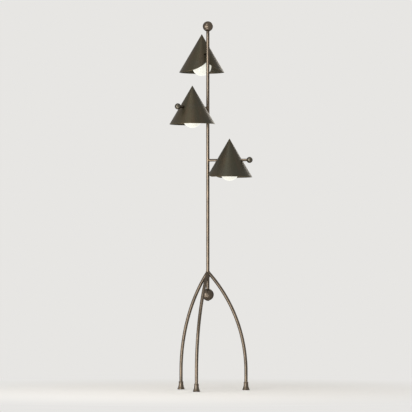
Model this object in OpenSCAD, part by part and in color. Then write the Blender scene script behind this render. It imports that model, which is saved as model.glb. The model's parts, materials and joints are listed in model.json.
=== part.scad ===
// Tripod floor lamp with three cone shades.
// Millimetres, +Z up. The origin is the point on the floor under the pole's axis.
// Seen from the front, +X is to the right and +Y points away from the viewer.

/* [Pole] */
// Height from the floor to the top of the top ball
lamp_height = 1800; // [1720:5:1950]
// Outer diameter of the pole tube
pole_d = 16; // [15:0.5:19]
// Wall of the pole tube
pole_wall = 1.5; // [1:0.1:2]
// Diameter of the ball on top of the pole
top_ball_d = 50; // [40:1:60]
// Diameter of the ball at the foot of the pole
lower_ball_d = 58; // [46:1:66]
// Distance from the legs' joint down to the lower ball's centre
lower_ball_drop = 111; // [90:1:140]
// Wall of the two hollow balls
ball_wall = 1.5; // [1:0.1:2.5]

/* [Legs] */
// Height at which the legs' centrelines meet on the pole's axis
leg_joint_z = 577; // [520:1:640]
// Height up to which each leg stands straight, before it bows inwards
leg_straight_z = 89; // [70:1:140]
// Distance from the pole's axis to the centre of each foot
foot_reach = 191.5; // [175:0.5:240]
// Outer diameter of the leg tubes
leg_d = 16; // [13:0.5:18]
// Wall of the leg tubes
leg_wall = 1.5; // [1:0.1:2]
// Direction of the right leg, counted from +X towards +Y
leg_azimuth = 13.4; // [0:0.1:60]
// Wall of the sleeve that carries the legs
hub_wall = 2; // [1.5:0.1:4]

/* [Feet] */
// Height of the top of each bell foot above the floor
foot_top_z = 39; // [34:0.5:50]
// Diameter of a bell foot at its top
foot_top_d = 23; // [22:0.5:28]
// Diameter of a bell foot at its lip
foot_base_d = 36; // [33:0.5:46]
// Radius of the hollow curve of the bell
foot_flare_r = 60; // [40:1:120]
// Height of the lip at the base of the bell
foot_lip_h = 2.5; // [1.5:0.1:4]
// Thickness of the rubber pad
pad_h = 4; // [3:0.1:6]
// How far the rubber pad stands out of the foot
pad_stand = 2.5; // [1:0.1:3]
// How far the leg goes into its foot
leg_insert = 22; // [18:0.5:24]

/* [Arms] */
// Distance from the lamp's top down to the high arm
high_arm_drop = 160; // [150:1:180]
// Distance from the high arm down to the middle arm
middle_arm_drop = 264; // [245:1:290]
// Distance from the middle arm down to the low arm
low_arm_drop = 255; // [245:1:290]
// Direction of the high arm, counted from +X towards +Y
arm_azimuth = 106; // [0:1:180]
// Diameter of the arm rods
arm_d = 12.5; // [12:0.1:14]
// Distance from the pole's axis to a shade's axis
shade_reach = 108.5; // [104:0.5:120]
// Distance from the pole's axis to the centre of an arm ball
ball_reach = 209; // [205:0.5:230]
// Diameter of the ball at the end of an arm
arm_ball_d = 30; // [24:0.5:36]
// Diameter of the bore that carries the lead through an arm
arm_bore_d = 6; // [5:0.1:6.4]
// Largest turn of a head to either side
swivel_limit = 90; // [45:5:120]

/* [Shades] */
// Diameter of a shade at its rim
shade_rim_d = 222; // [205:1:240]
// Height of a shade from rim to tip
shade_h = 189; // [178:1:205]
// Height of the shade's tip above the arm's axis
shade_tip_rise = 106; // [100:1:112]
// Thickness of the shade's sheet
shade_wall = 1.2; // [0.8:0.1:2]
// Gap between the pole and the top of the notch in the shade's rim
notch_gap = 16; // [10:0.5:24]
// Half width of the notch at the rim
notch_half_w = 88; // [80:1:96]
// Radius of the notch's two flared sides
notch_side_r = 200; // [150:5:300]

/* [Bulbs] */
// Diameter of the opal globe
globe_d = 95; // [80:1:100]
// Thickness of the globe's glass
glass_wall = 1; // [0.6:0.1:1.6]
// Length of a whole bulb
bulb_l = 138; // [134:0.5:142]
// Diameter of the screw cap
cap_d = 26; // [24:0.5:27]
// Length of the screw cap with its tip
cap_l = 27; // [22:0.5:29]

/* [Holders] */
// Wall of the holder cup
cup_wall = 2; // [1.2:0.1:3]
// Thickness of the holder cup's top
cup_top_h = 4; // [3:0.1:6]
// Wall of the ceramic socket around its bore
socket_wall = 5.8; // [4.5:0.1:7]
// Thickness of the ceramic above the centre contact
socket_top_h = 8; // [6:0.5:10]
// Diameter of the swivel spigot on an arm
swivel_d = 10; // [9:0.1:10.6]
// Wall of the bosses on the holder cup
boss_wall = 3; // [2.5:0.1:4]
// Length of a boss outside the cup
boss_l = 12; // [10:0.5:16]
// Outer diameter of the threaded tube that carries the shade
nipple_d = 10; // [9:0.1:11]

/* [Clearances] */
// Radial running clearance of the swivel
swivel_gap = 0.05; // [0.02:0.01:0.1]
// Radial gap of pieces that slip over or into each other
fit_gap = 0.1; // [0.05:0.05:0.2]
// Radial gap between an arm and the hole in its shade
shade_hole_gap = 0.5; // [0.4:0.1:1]
// Gap between the globe and the bosses above it
globe_gap = 1.5; // [1:0.1:4]
// Gap between two neighbouring legs at the sleeve
leg_gap = 0.7; // [0.3:0.1:2]

/* [Hidden] */

$fn = 96;
// Overshoot of a cutting solid past the face that it cuts
cut = 1;

// Finishes
bronze = "#8b7a67";
dark_bronze = "#4b463b";
steel = "#b9b9b6";
brass = "#c9a557";
ceramic = "#e9e5da";
opal = "#fbfbf2";
black_rubber = "#26241f";
wire_jacket = "#d8d2c2";

// Pole and balls
pole_r = pole_d / 2;
pole_bore_r = pole_r - pole_wall;
top_ball_z = lamp_height - top_ball_d / 2;
lower_ball_z = leg_joint_z - lower_ball_drop;
// How deep the tube's end sits inside a ball
tube_in_ball = 4;
pole_top_z = top_ball_z - ball_seat(top_ball_d) + tube_in_ball;
pole_bottom_z = lower_ball_z + ball_seat(lower_ball_d) - tube_in_ball;
plug_l = 20;
stud_d = 8;
stud_l = 14;
stud_boss_wall = 3;
stud_boss_gap = 1;
bush_l = 15;
nipple_wall = 1.5;
nipple_bore_d = nipple_d - 2 * nipple_wall;
cord_bush_d = 14;
cord_bush_h = 2;

// Legs: a circular bow that stands upright at its lower end
leg_r = leg_d / 2;
leg_bore_r = leg_r - leg_wall;
bow_h = leg_joint_z - leg_straight_z;
bow_r = (bow_h * bow_h + foot_reach * foot_reach) / (2 * foot_reach);
leg_lean = asin(bow_h / bow_r);
leg_angles = [for (i = [0:2]) leg_azimuth + 120 * i];

// Sleeve at the legs' joint
hub_r = max(pole_r + hub_wall, leg_r / sin(60) + leg_gap);
hub_top_rise = 3;
hub_margin = 4;
hub_top_z = leg_joint_z + hub_top_rise;
hub_bottom_z = leg_joint_z - hub_r / tan(leg_lean) - leg_r / sin(leg_lean) - hub_margin;
peg_gap = 0.6;
peg_r = leg_bore_r - peg_gap;
peg_l = 26;
hub_screw_d = 4;
hub_screw_rise = 5;
hub_screw_sink = 0.3;
hub_screw_hex_d = 1.6;
hub_screw_hex_depth = 1.2;

// Feet
foot_bottom_z = pad_stand;
foot_lip_step = 1;
pad_inset = 1.5;
pad_d = foot_base_d - 2 * pad_inset;
leg_bottom_z = foot_top_z - leg_insert;
foot_screw_d = 6;
screw_head_d = 10;
screw_head_h = 4;
leg_plug_l = 20;
foot_screw_grip = 14;

// Arms, listed from the low one to the high one
LOW = 0;
MIDDLE = 1;
HIGH = 2;
high_arm_z = lamp_height - high_arm_drop;
middle_arm_z = high_arm_z - middle_arm_drop;
low_arm_z = middle_arm_z - low_arm_drop;
arm_z = [low_arm_z, middle_arm_z, high_arm_z];
arm_angle = [arm_azimuth + 240, arm_azimuth + 120, arm_azimuth];
arm_r = arm_d / 2;
arm_bore_r = arm_bore_d / 2;
tenon_wall = 1;
tenon_r = arm_bore_r + tenon_wall;
// How deep a rod's shoulder sits in the ball on its end
ball_sink = 1;
swivel_r = swivel_d / 2;

// Wiring
feed_gap = 0.5;
lead_gap = 1;
feed_d = nipple_bore_d - 2 * feed_gap;
lead_d = arm_bore_d - 2 * lead_gap;
splice_wall = 1.5;
splice_l = 16;
head_lead_d = 2.6;

// Bulb, in a head's own frame: origin where the shade's axis meets the arm's axis
globe_r = globe_d / 2;
cap_r = cap_d / 2;
cap_wall = 0.5;
cap_tip_h = 2.5;
cap_tip_r = 5;
thread_gap = 0.4;
contact_wall = 0.6;
contact_h = 2;
socket_bore_r = cap_r + thread_gap + contact_wall + fit_gap;
socket_r = socket_bore_r + socket_wall;
cup_bore_r = socket_r + fit_gap;
cup_r = cup_bore_r + cup_wall;
boss_r = swivel_r + swivel_gap + boss_wall;
boss_end = cup_r + boss_l;
globe_z = -boss_r - globe_gap - sqrt(globe_r * globe_r - cup_bore_r * cup_bore_r);
bulb_tip_z = globe_z + bulb_l - globe_r;
cap_bottom_z = bulb_tip_z - cap_l;
neck_gap = 4;
neck_low_r = cup_bore_r - neck_gap;
neck_low_z = globe_z + sqrt(globe_r * globe_r - neck_low_r * neck_low_r);
neck_top_r = cap_r - cap_wall - fit_gap;
neck_in_cap = 4;

// Holder cup and socket
socket_ceiling_z = bulb_tip_z + contact_h;
socket_top_z = socket_ceiling_z + socket_top_h;
socket_lip = 2;
socket_bottom_z = cap_bottom_z - socket_lip;
cup_top_z = socket_top_z + cup_top_h;
skirt_below_boss = 0.5;
cup_bottom_z = -boss_r - skirt_below_boss;
socket_screw_d = 3;
socket_screw_head_d = 5.5;
socket_screw_head_h = 2;
socket_screw_bite = 5;
socket_screw_r = (nipple_d / 2 + cup_r) / 2;
groove_w = 3;
groove_depth = 0.8;
groove_play = 0.2;
// Angle by which the groove runs on past the screw at either limit
groove_slack = 1;
swivel_screw_d = groove_w - groove_play;
swivel_screw_x = cup_r + boss_l / 2;
washer_h = 1.2;

// Shade
shade_rim_z = shade_tip_rise - shade_h;
shade_rim_r = shade_rim_d / 2;
cone_slope = shade_rim_r / shade_h;
cone_angle = atan(cone_slope);
inner_tip_z = shade_tip_rise - shade_wall / sin(cone_angle);
notch_h = shade_h - (shade_reach - pole_r - notch_gap) / cone_slope;
plug_land = 1.5;
shade_plug_h = 16;
shade_plug_cap = 3;
shade_plug_top_z = inner_tip_z - (nipple_d / 2 + plug_land) / cone_slope;
shade_plug_bottom_z = shade_plug_top_z - shade_plug_h;
nut_d = 16;
nut_h = 4;

// Distance from a ball's centre to the plane where the pole tube enters it
function ball_seat(ball_d) = sqrt(ball_d * ball_d - pole_d * pole_d) / 2;

// Centre of the circle of radius r through p and q, on the left of the way from p to q
function arc_centre(p, q, r) =
    let (way = q - p, l = norm(way), side = sqrt(r * r - l * l / 4) / l)
    (p + q) / 2 + side * [-way[1], way[0]];

// Radius of the inside of the shade at height z in the head's frame
function shade_bore_r(z) = (inner_tip_z - z) * cone_slope;

// Puts its children in the frame of one head: X along its arm, Z up the shade's axis
module at_head(level) {
    rotate([0, 0, arm_angle[level]]) translate([shade_reach, 0, arm_z[level]]) children();
}

// Puts its children in the frame of one arm: X along it, origin on the pole's axis
module at_arm(level) {
    rotate([0, 0, arm_angle[level]]) translate([0, 0, arm_z[level]]) children();
}

// A round bar along X from x0 to x1
module bar(x0, x1, r) {
    translate([x0, 0, 0]) rotate([0, 90, 0]) cylinder(h = x1 - x0, r = r);
}

// A tube standing from z0 to z1
module tube(z0, z1, r_out, r_in) {
    difference() {
        translate([0, 0, z0]) cylinder(h = z1 - z0, r = r_out);
        translate([0, 0, z0 - cut]) cylinder(h = z1 - z0 + 2 * cut, r = r_in);
    }
}

// ---- Stand: pole, hub, legs and feet ----

module pole() {
    color(bronze) difference() {
        tube(pole_bottom_z, pole_top_z, pole_r, pole_bore_r);
        for (level = [LOW:HIGH]) at_arm(level) bar(0, pole_d, tenon_r + fit_gap);
        for (a = leg_angles) hub_screw_at(a) bar(0, pole_d, hub_screw_d / 2);
    }
}

// Direction and height of one grub screw of the hub, between two legs
module hub_screw_at(a) {
    rotate([0, 0, a + 60]) translate([0, 0, hub_bottom_z + hub_screw_rise]) children();
}

// Sleeve on the pole with a peg inside the top of each leg
module leg_hub() {
    color(bronze) difference() {
        union() {
            translate([0, 0, hub_bottom_z]) cylinder(h = hub_top_z - hub_bottom_z, r = hub_r);
            for (a = leg_angles)
                rotate([0, 0, a]) translate([0, 0, leg_joint_z]) rotate([0, 180 - leg_lean, 0])
                    cylinder(h = peg_l, r = peg_r);
        }
        translate([0, 0, hub_bottom_z - cut])
            cylinder(h = hub_top_z - hub_bottom_z + leg_d, r = pole_r + fit_gap);
        for (a = leg_angles) hub_screw_at(a) bar(0, 2 * hub_r, hub_screw_d / 2);
    }
}

module hub_screws() {
    color(steel) for (a = leg_angles)
        hub_screw_at(a) difference() {
            bar(pole_bore_r, hub_r - hub_screw_sink, hub_screw_d / 2 - fit_gap / 2);
            bar(hub_r - hub_screw_sink - hub_screw_hex_depth, hub_r, hub_screw_hex_d / 2, $fn = 6);
        }
}

// Solid form of a leg: an upright stretch and a circular bow up to the pole's axis
module leg_form(r, z0) {
    translate([foot_reach, 0, z0]) cylinder(h = leg_straight_z - z0, r = r);
    translate([foot_reach - bow_r, 0, leg_straight_z]) rotate([90, 0, 0])
        rotate_extrude(angle = leg_lean) translate([bow_r, 0]) circle(r = r);
}

module leg(a) {
    color(bronze) rotate([0, 0, a]) difference() {
        leg_form(leg_r, leg_bottom_z);
        leg_form(leg_bore_r, leg_bottom_z - cut);
        translate([0, 0, hub_bottom_z]) cylinder(h = 2 * (hub_top_z - hub_bottom_z), r = hub_r);
    }
}

// Half section of the bell foot, from its axis outwards
module foot_profile() {
    lip_top = foot_bottom_z + foot_lip_h;
    low = [foot_base_d / 2 - foot_lip_step, lip_top];
    high = [foot_top_d / 2, foot_top_z];
    difference() {
        polygon([[0, foot_bottom_z], [foot_base_d / 2, foot_bottom_z], [foot_base_d / 2, lip_top],
                 low, high, [0, foot_top_z]]);
        translate(arc_centre(high, low, foot_flare_r)) circle(r = foot_flare_r, $fn = 360);
    }
}

module foot(a) {
    color(bronze) rotate([0, 0, a]) translate([foot_reach, 0, 0]) difference() {
        rotate_extrude() foot_profile();
        translate([0, 0, leg_bottom_z]) cylinder(h = foot_top_z, r = leg_r + fit_gap);
        cylinder(h = foot_top_z, d = foot_screw_d + 2 * fit_gap);
        cylinder(h = pad_h + screw_head_h + fit_gap, d = screw_head_d + 2 * fit_gap);
        cylinder(h = pad_h, d = pad_d + 2 * fit_gap);
    }
}

module pad(a) {
    color(black_rubber) rotate([0, 0, a]) translate([foot_reach, 0, 0])
        cylinder(h = pad_h, d = pad_d);
}

module leg_plugs() {
    color(steel) for (a = leg_angles)
        rotate([0, 0, a]) translate([foot_reach, 0, 0])
            tube(leg_bottom_z, leg_bottom_z + leg_plug_l, leg_bore_r - fit_gap / 2, foot_screw_d / 2);
}

module foot_screws() {
    head_z = pad_h;
    color(steel) for (a = leg_angles)
        rotate([0, 0, a]) translate([foot_reach, 0, 0]) difference() {
            union() {
                translate([0, 0, head_z]) cylinder(h = screw_head_h, d = screw_head_d);
                translate([0, 0, head_z]) cylinder(
                    h = leg_bottom_z + foot_screw_grip - head_z, d = foot_screw_d - fit_gap);
            }
            translate([0, 0, head_z - cut]) cylinder(h = screw_head_h, d = screw_head_d / 2, $fn = 6);
        }
}

// ---- Balls of the pole ----

// Ball that closes the pole's top; a threaded boss inside takes the plug's stud
module top_ball() {
    boss_z = pole_top_z - top_ball_z + stud_boss_gap;
    color(bronze) translate([0, 0, top_ball_z]) difference() {
        sphere(d = top_ball_d);
        difference() {
            sphere(d = top_ball_d - 2 * ball_wall);
            translate([0, 0, boss_z]) cylinder(h = top_ball_d, r = stud_d / 2 + stud_boss_wall);
        }
        translate([0, 0, -top_ball_d]) cylinder(h = top_ball_d + boss_z, r = pole_r + fit_gap);
        translate([0, 0, boss_z - cut]) cylinder(h = stud_l + cut, d = stud_d);
    }
}

module top_plug() {
    color(steel) {
        translate([0, 0, pole_top_z - plug_l]) cylinder(h = plug_l, r = pole_bore_r - fit_gap / 2);
        translate([0, 0, pole_top_z - cut]) cylinder(h = stud_l + cut, d = stud_d - fit_gap);
    }
}

// Hollow ball under the pole, with a flat below for the cord bush
module lower_ball() {
    seat = ball_bottom_seat();
    color(bronze) translate([0, 0, lower_ball_z]) difference() {
        sphere(d = lower_ball_d);
        sphere(d = lower_ball_d - 2 * ball_wall);
        cylinder(h = lower_ball_d, r = pole_r + fit_gap);
        translate([0, 0, -lower_ball_d]) cylinder(h = lower_ball_d, d = nipple_d + 2 * fit_gap);
        translate([0, 0, -seat - lower_ball_d]) cylinder(h = lower_ball_d, d = 2 * cord_bush_d);
    }
}

// Depth below the lower ball's centre of the flat that seats the cord bush
function ball_bottom_seat() = sqrt(lower_ball_d * lower_ball_d - cord_bush_d * cord_bush_d) / 2;

// Threaded tube from the pole's bush through the ball to the cord bush
module lower_nipple() {
    color(brass) tube(lower_ball_z - ball_bottom_seat() - cord_bush_h / 2,
                      pole_bottom_z + bush_l, nipple_d / 2, nipple_bore_d / 2);
}

module pole_bush() {
    color(brass) tube(pole_bottom_z, pole_bottom_z + bush_l,
                      pole_bore_r - fit_gap / 2, nipple_d / 2 + fit_gap / 2);
}

// Collar screwed on the threaded tube under the ball: the cord's inlet
module cord_bush() {
    seat_z = lower_ball_z - ball_bottom_seat();
    color(black_rubber) difference() {
        translate([0, 0, seat_z - cord_bush_h]) cylinder(h = cord_bush_h, d = cord_bush_d);
        translate([0, 0, seat_z - cord_bush_h / 2]) cylinder(h = cord_bush_h, d = nipple_d + fit_gap);
        translate([0, 0, seat_z - 2 * cord_bush_h]) cylinder(h = 2 * cord_bush_h, d = nipple_bore_d);
    }
}

// ---- Arms and wiring ----

// Rod from the pole to the swivel: a tenon in the pole's wall, a spigot with a stop groove
module arm(level) {
    color(bronze) at_arm(level) difference() {
        union() {
            difference() {
                bar(0, shade_reach - boss_end - washer_h, arm_r);
                cylinder(h = 2 * arm_d, r = pole_r, center = true);
            }
            bar(0, pole_d, tenon_r);
            bar(pole_d, shade_reach - cup_r, swivel_r);
        }
        bar(-cut, shade_reach, arm_bore_r);
        cylinder(h = 2 * arm_d, r = pole_bore_r, center = true);
        translate([shade_reach - swivel_screw_x, 0, 0]) stop_groove();
    }
}

// Groove around the underside of the spigot; its two ends stop the head's screw
module stop_groove() {
    half = swivel_limit + asin(swivel_screw_d / 2 / (swivel_r - groove_depth)) + groove_slack;
    rotate([0, 90, 0]) rotate([0, 0, -half]) rotate_extrude(angle = 2 * half)
        translate([swivel_r - groove_depth, -groove_w / 2]) square([groove_depth + cut, groove_w]);
}

module swivel_washers() {
    color(black_rubber) for (level = [LOW:HIGH])
        at_arm(level) difference() {
            bar(shade_reach - boss_end - washer_h, shade_reach - boss_end, boss_r);
            bar(0, shade_reach, swivel_r + fit_gap);
        }
}

// Cable up the pole, from the cord's inlet to the high arm
module feed_cable() {
    z0 = lower_ball_z - ball_bottom_seat() - cord_bush_h;
    z1 = high_arm_z + arm_r + splice_l;
    color(wire_jacket) translate([0, 0, z0]) cylinder(h = z1 - z0, d = feed_d);
}

module arm_leads() {
    color(wire_jacket) for (level = [LOW:HIGH])
        at_arm(level) difference() {
            bar(0, shade_reach - cup_r, lead_d / 2);
            cylinder(h = 2 * lead_d, d = feed_d, center = true);
        }
}

// Sleeves over the joints of the leads with the cable, one above each arm
module splice_sleeves() {
    color(ceramic) for (level = [LOW:HIGH])
        tube(arm_z[level] + lead_d / 2, arm_z[level] + lead_d / 2 + splice_l,
             feed_d / 2 + splice_wall, feed_d / 2);
}

// ---- Heads: shade, holder, bulb and the arm's outer end ----

// Outline of the notch that lets the pole pass, seen along the arm: Y across, X up from the rim
module notch_profile() {
    top = [notch_h, 0];
    for (side = [0, 1]) mirror([0, side, 0]) difference() {
        polygon([[-cut, 0], [-cut, notch_half_w], [0, notch_half_w], top]);
        translate(arc_centre([0, notch_half_w], top, notch_side_r)) circle(r = notch_side_r, $fn = 720);
    }
}

// Spun cone, open below, notched towards the pole and pierced for the arm
module shade(level) {
    color(dark_bronze) at_head(level) difference() {
        rotate_extrude($fn = 180) polygon([[0, shade_tip_rise], [0, inner_tip_z],
            [shade_bore_r(shade_rim_z), shade_rim_z], [shade_rim_r, shade_rim_z]]);
        translate([0, 0, shade_rim_z]) rotate([0, -90, 0])
            linear_extrude(height = shade_rim_r + cut) notch_profile();
        bar(-shade_rim_r, 0, arm_r + shade_hole_gap);
        bar(0, shade_rim_r, arm_r + fit_gap);
    }
}

// Plug in the shade's tip, which screws on the threaded tube
module shade_plug(level) {
    hole_top_z = shade_plug_top_z - shade_plug_cap;
    color(steel) at_head(level) difference() {
        translate([0, 0, shade_plug_bottom_z]) cylinder(h = shade_plug_h,
            r1 = shade_bore_r(shade_plug_bottom_z), r2 = shade_bore_r(shade_plug_top_z));
        translate([0, 0, shade_plug_bottom_z - cut])
            cylinder(h = hole_top_z - shade_plug_bottom_z + cut, d = nipple_d);
    }
}

// Cup that carries the socket; its two bosses take the swivel and the outer arm
module holder_cup(level) {
    color(dark_bronze) at_head(level) difference() {
        union() {
            translate([0, 0, cup_bottom_z]) cylinder(h = cup_top_z - cup_bottom_z, r = cup_r);
            bar(-boss_end, boss_end, boss_r);
        }
        translate([0, 0, cup_bottom_z - cut]) cylinder(h = socket_top_z - cup_bottom_z + cut, r = cup_bore_r);
        translate([0, 0, socket_top_z - cut]) cylinder(h = 2 * cup_top_h, d = nipple_d);
        bar(-boss_end - cut, 0, swivel_r + swivel_gap);
        bar(0, boss_end + cut, tenon_r);
        translate([-swivel_screw_x, 0, -2 * boss_r]) cylinder(h = 2 * boss_r, d = swivel_screw_d);
        for (side = [-1, 1])
            translate([0, side * socket_screw_r, socket_top_z - cut])
                cylinder(h = 2 * cup_top_h, d = socket_screw_d);
    }
}

// Ceramic body with the bore for the screw cap and a channel for the lead
module socket(level) {
    color(ceramic) at_head(level) difference() {
        translate([0, 0, socket_bottom_z]) cylinder(h = socket_top_z - socket_bottom_z, r = socket_r);
        translate([0, 0, socket_bottom_z - cut])
            cylinder(h = socket_ceiling_z - socket_bottom_z + cut, r = socket_bore_r);
        translate([-socket_r - cut, -head_lead_d / 2 - fit_gap, socket_bottom_z - cut])
            cube([head_lead_d + fit_gap * 3 + cut, head_lead_d + 2 * fit_gap,
                  socket_ceiling_z - socket_bottom_z + cut]);
        for (side = [-1, 1])
            translate([0, side * socket_screw_r, socket_top_z - socket_screw_bite])
                cylinder(h = 2 * socket_screw_bite, d = socket_screw_d);
    }
}

// Screw shell in the socket's bore and the centre contact under its ceiling
module socket_contacts(level) {
    color(brass) at_head(level) {
        tube(cap_bottom_z, bulb_tip_z - cap_tip_h, cap_r + thread_gap + contact_wall, cap_r + thread_gap);
        translate([0, 0, bulb_tip_z]) cylinder(h = contact_h, r = cap_tip_r);
    }
}

// A globe with a tapered neck that ends in the cap; shrink moves the wall inwards
module bulb_form(shrink) {
    neck_end_z = cap_bottom_z + neck_in_cap;
    translate([0, 0, globe_z]) sphere(r = globe_r - shrink);
    translate([0, 0, neck_low_z - cut]) cylinder(
        h = cap_bottom_z - neck_low_z + cut, r1 = neck_low_r - shrink, r2 = neck_top_r - shrink);
    translate([0, 0, cap_bottom_z - cut]) cylinder(
        h = neck_end_z - cap_bottom_z + cut + shrink, r = neck_top_r - shrink);
}

module bulb_glass(level) {
    color(opal) at_head(level) difference() {
        bulb_form(0);
        bulb_form(glass_wall);
    }
}

// Screw cap with its insulated centre tip
module bulb_cap(level) {
    side_top_z = bulb_tip_z - cap_tip_h;
    color(steel) at_head(level) rotate_extrude() polygon([
        [cap_r - cap_wall, cap_bottom_z], [cap_r, cap_bottom_z], [cap_r, side_top_z - cap_wall],
        [cap_tip_r, side_top_z], [cap_tip_r / 2, bulb_tip_z], [0, bulb_tip_z],
        [0, side_top_z - 2 * cap_wall], [cap_r - cap_wall, side_top_z - 3 * cap_wall]]);
}

// Rod from the cup's outer boss through the shade to the arm's ball
module outer_arm(level) {
    ball_x = ball_reach - shade_reach;
    color(bronze) at_head(level) {
        bar(boss_end, ball_x - arm_ball_d / 2 + ball_sink, arm_r);
        bar(cup_bore_r + tenon_wall, ball_x, tenon_r - fit_gap / 2);
    }
}

module arm_ball(level) {
    ball_x = ball_reach - shade_reach;
    color(bronze) at_head(level) difference() {
        translate([ball_x, 0, 0]) sphere(d = arm_ball_d);
        bar(0, ball_x - arm_ball_d / 2 + ball_sink, arm_r);
        bar(0, ball_x, tenon_r);
    }
}

// Threaded tube with its two nuts, the socket's screws and the screw in the swivel's groove
module head_fixings(level) {
    screw_r = swivel_r - groove_depth;
    color(steel) at_head(level) {
        tube(socket_top_z, shade_plug_top_z - shade_plug_cap, nipple_d / 2 - fit_gap / 2, nipple_bore_d / 2);
        lock_nut(cup_top_z);
        lock_nut(shade_plug_bottom_z - nut_h);
        for (side = [-1, 1]) translate([0, side * socket_screw_r, 0]) socket_screw();
        translate([-swivel_screw_x, 0, -boss_r])
            cylinder(h = boss_r - screw_r - fit_gap, d = swivel_screw_d - fit_gap);
    }
}

module lock_nut(z) {
    difference() {
        translate([0, 0, z]) cylinder(h = nut_h, d = nut_d, $fn = 6);
        translate([0, 0, z - cut]) cylinder(h = nut_h + 2 * cut, d = nipple_d);
    }
}

module socket_screw() {
    translate([0, 0, socket_top_z - socket_screw_bite])
        cylinder(h = socket_screw_bite + cup_top_h, d = socket_screw_d - fit_gap);
    translate([0, 0, cup_top_z]) cylinder(h = socket_screw_head_h, d = socket_screw_head_d);
}

// Lead up the socket's channel, inside the cup
module head_lead(level) {
    color(wire_jacket) at_head(level)
        translate([-(cup_bore_r - 2 * fit_gap - head_lead_d / 2), 0, -head_lead_d])
            cylinder(h = socket_ceiling_z - cut + head_lead_d, d = head_lead_d);
}

pole();
leg_hub();
leg(leg_angles[0]);  // leg_right
leg(leg_angles[1]);  // leg_left
leg(leg_angles[2]);  // leg_front
foot(leg_angles[0]);  // foot_right
foot(leg_angles[1]);  // foot_left
foot(leg_angles[2]);  // foot_front
pad(leg_angles[0]);  // pad_right
pad(leg_angles[1]);  // pad_left
pad(leg_angles[2]);  // pad_front
leg_plugs();
foot_screws();
hub_screws();
lower_ball();
lower_nipple();
pole_bush();
cord_bush();
top_ball();
top_plug();
arm(LOW);  // arm_low
arm(MIDDLE);  // arm_middle
arm(HIGH);  // arm_high
feed_cable();
arm_leads();
splice_sleeves();
swivel_washers();
shade(LOW);  // shade_low
shade(MIDDLE);  // shade_middle
shade(HIGH);  // shade_high
shade_plug(LOW);  // shade_plug_low
shade_plug(MIDDLE);  // shade_plug_middle
shade_plug(HIGH);  // shade_plug_high
holder_cup(LOW);  // holder_cup_low
holder_cup(MIDDLE);  // holder_cup_middle
holder_cup(HIGH);  // holder_cup_high
socket(LOW);  // socket_low
socket(MIDDLE);  // socket_middle
socket(HIGH);  // socket_high
socket_contacts(LOW);  // socket_contacts_low
socket_contacts(MIDDLE);  // socket_contacts_middle
socket_contacts(HIGH);  // socket_contacts_high
bulb_glass(LOW);  // bulb_glass_low
bulb_glass(MIDDLE);  // bulb_glass_middle
bulb_glass(HIGH);  // bulb_glass_high
bulb_cap(LOW);  // bulb_cap_low
bulb_cap(MIDDLE);  // bulb_cap_middle
bulb_cap(HIGH);  // bulb_cap_high
outer_arm(LOW);  // outer_arm_low
outer_arm(MIDDLE);  // outer_arm_middle
outer_arm(HIGH);  // outer_arm_high
arm_ball(LOW);  // arm_ball_low
arm_ball(MIDDLE);  // arm_ball_middle
arm_ball(HIGH);  // arm_ball_high
head_fixings(LOW);  // head_fixings_low
head_fixings(MIDDLE);  // head_fixings_middle
head_fixings(HIGH);  // head_fixings_high
head_lead(LOW);  // head_lead_low
head_lead(MIDDLE);  // head_lead_middle
head_lead(HIGH);  // head_lead_high
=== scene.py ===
"""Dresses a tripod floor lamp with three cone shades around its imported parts.

Lengths are metres. +Z is up, +X is to the right seen from the front and +Y points away from the
viewer; the origin is on the floor under the pole. Each sub-assembly is a class that takes its
sizes from the frame where the frame has them, builds its surfaces as whole arrays and dresses
them with a finish.
"""

import json
import logging
import math
from dataclasses import dataclass, replace
from enum import Enum
from typing import Any, Callable, Sequence

import bmesh
import bpy
import numpy as np
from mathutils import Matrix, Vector


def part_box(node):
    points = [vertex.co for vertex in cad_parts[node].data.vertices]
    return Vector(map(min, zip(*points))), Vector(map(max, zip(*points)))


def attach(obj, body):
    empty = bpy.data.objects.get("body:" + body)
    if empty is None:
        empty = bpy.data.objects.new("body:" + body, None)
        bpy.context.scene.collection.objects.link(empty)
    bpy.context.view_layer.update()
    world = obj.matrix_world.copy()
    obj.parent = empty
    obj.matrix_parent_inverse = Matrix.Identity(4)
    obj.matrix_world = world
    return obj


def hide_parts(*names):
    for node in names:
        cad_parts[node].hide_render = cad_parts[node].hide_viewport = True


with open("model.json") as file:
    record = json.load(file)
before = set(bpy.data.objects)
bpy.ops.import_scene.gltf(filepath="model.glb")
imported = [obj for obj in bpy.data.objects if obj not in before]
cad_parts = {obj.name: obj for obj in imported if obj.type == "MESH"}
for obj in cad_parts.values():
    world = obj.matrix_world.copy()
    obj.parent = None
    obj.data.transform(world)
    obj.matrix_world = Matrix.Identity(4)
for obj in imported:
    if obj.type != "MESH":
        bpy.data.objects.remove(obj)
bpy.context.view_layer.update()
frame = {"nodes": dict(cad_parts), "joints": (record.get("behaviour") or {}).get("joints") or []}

log = logging.getLogger("lamp")

Array = np.ndarray
Point = tuple[float, float, float]
Colour = tuple[float, float, float]

MM = 0.001
TURN = 2 * math.pi
POINT_SIZE = 1e-9  # a ring smaller than this is a point
SAME_PLACE = 1e-7  # points closer than this are one
WELD_DISTANCE = 2e-6
LARGEST_CUT = 0.48  # share of an edge that a rounding may take at either end
SHARP_DEGREES = 38.0  # edges that turn by more than this stay crisp
ROUND_SIDES = 96  # sides of a wide turned form
ROD_SIDES = 64  # sides of a rod, a tube or a collar
ROW_STEP = 4 * MM  # greatest distance of rows along a rod or a globe


class Level(Enum):
    """The three heads, named by height."""

    LOW = "low"
    MIDDLE = "middle"
    HIGH = "high"


class Side(Enum):
    """The three legs, named by where they stand."""

    RIGHT = "right"
    LEFT = "left"
    FRONT = "front"


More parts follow.
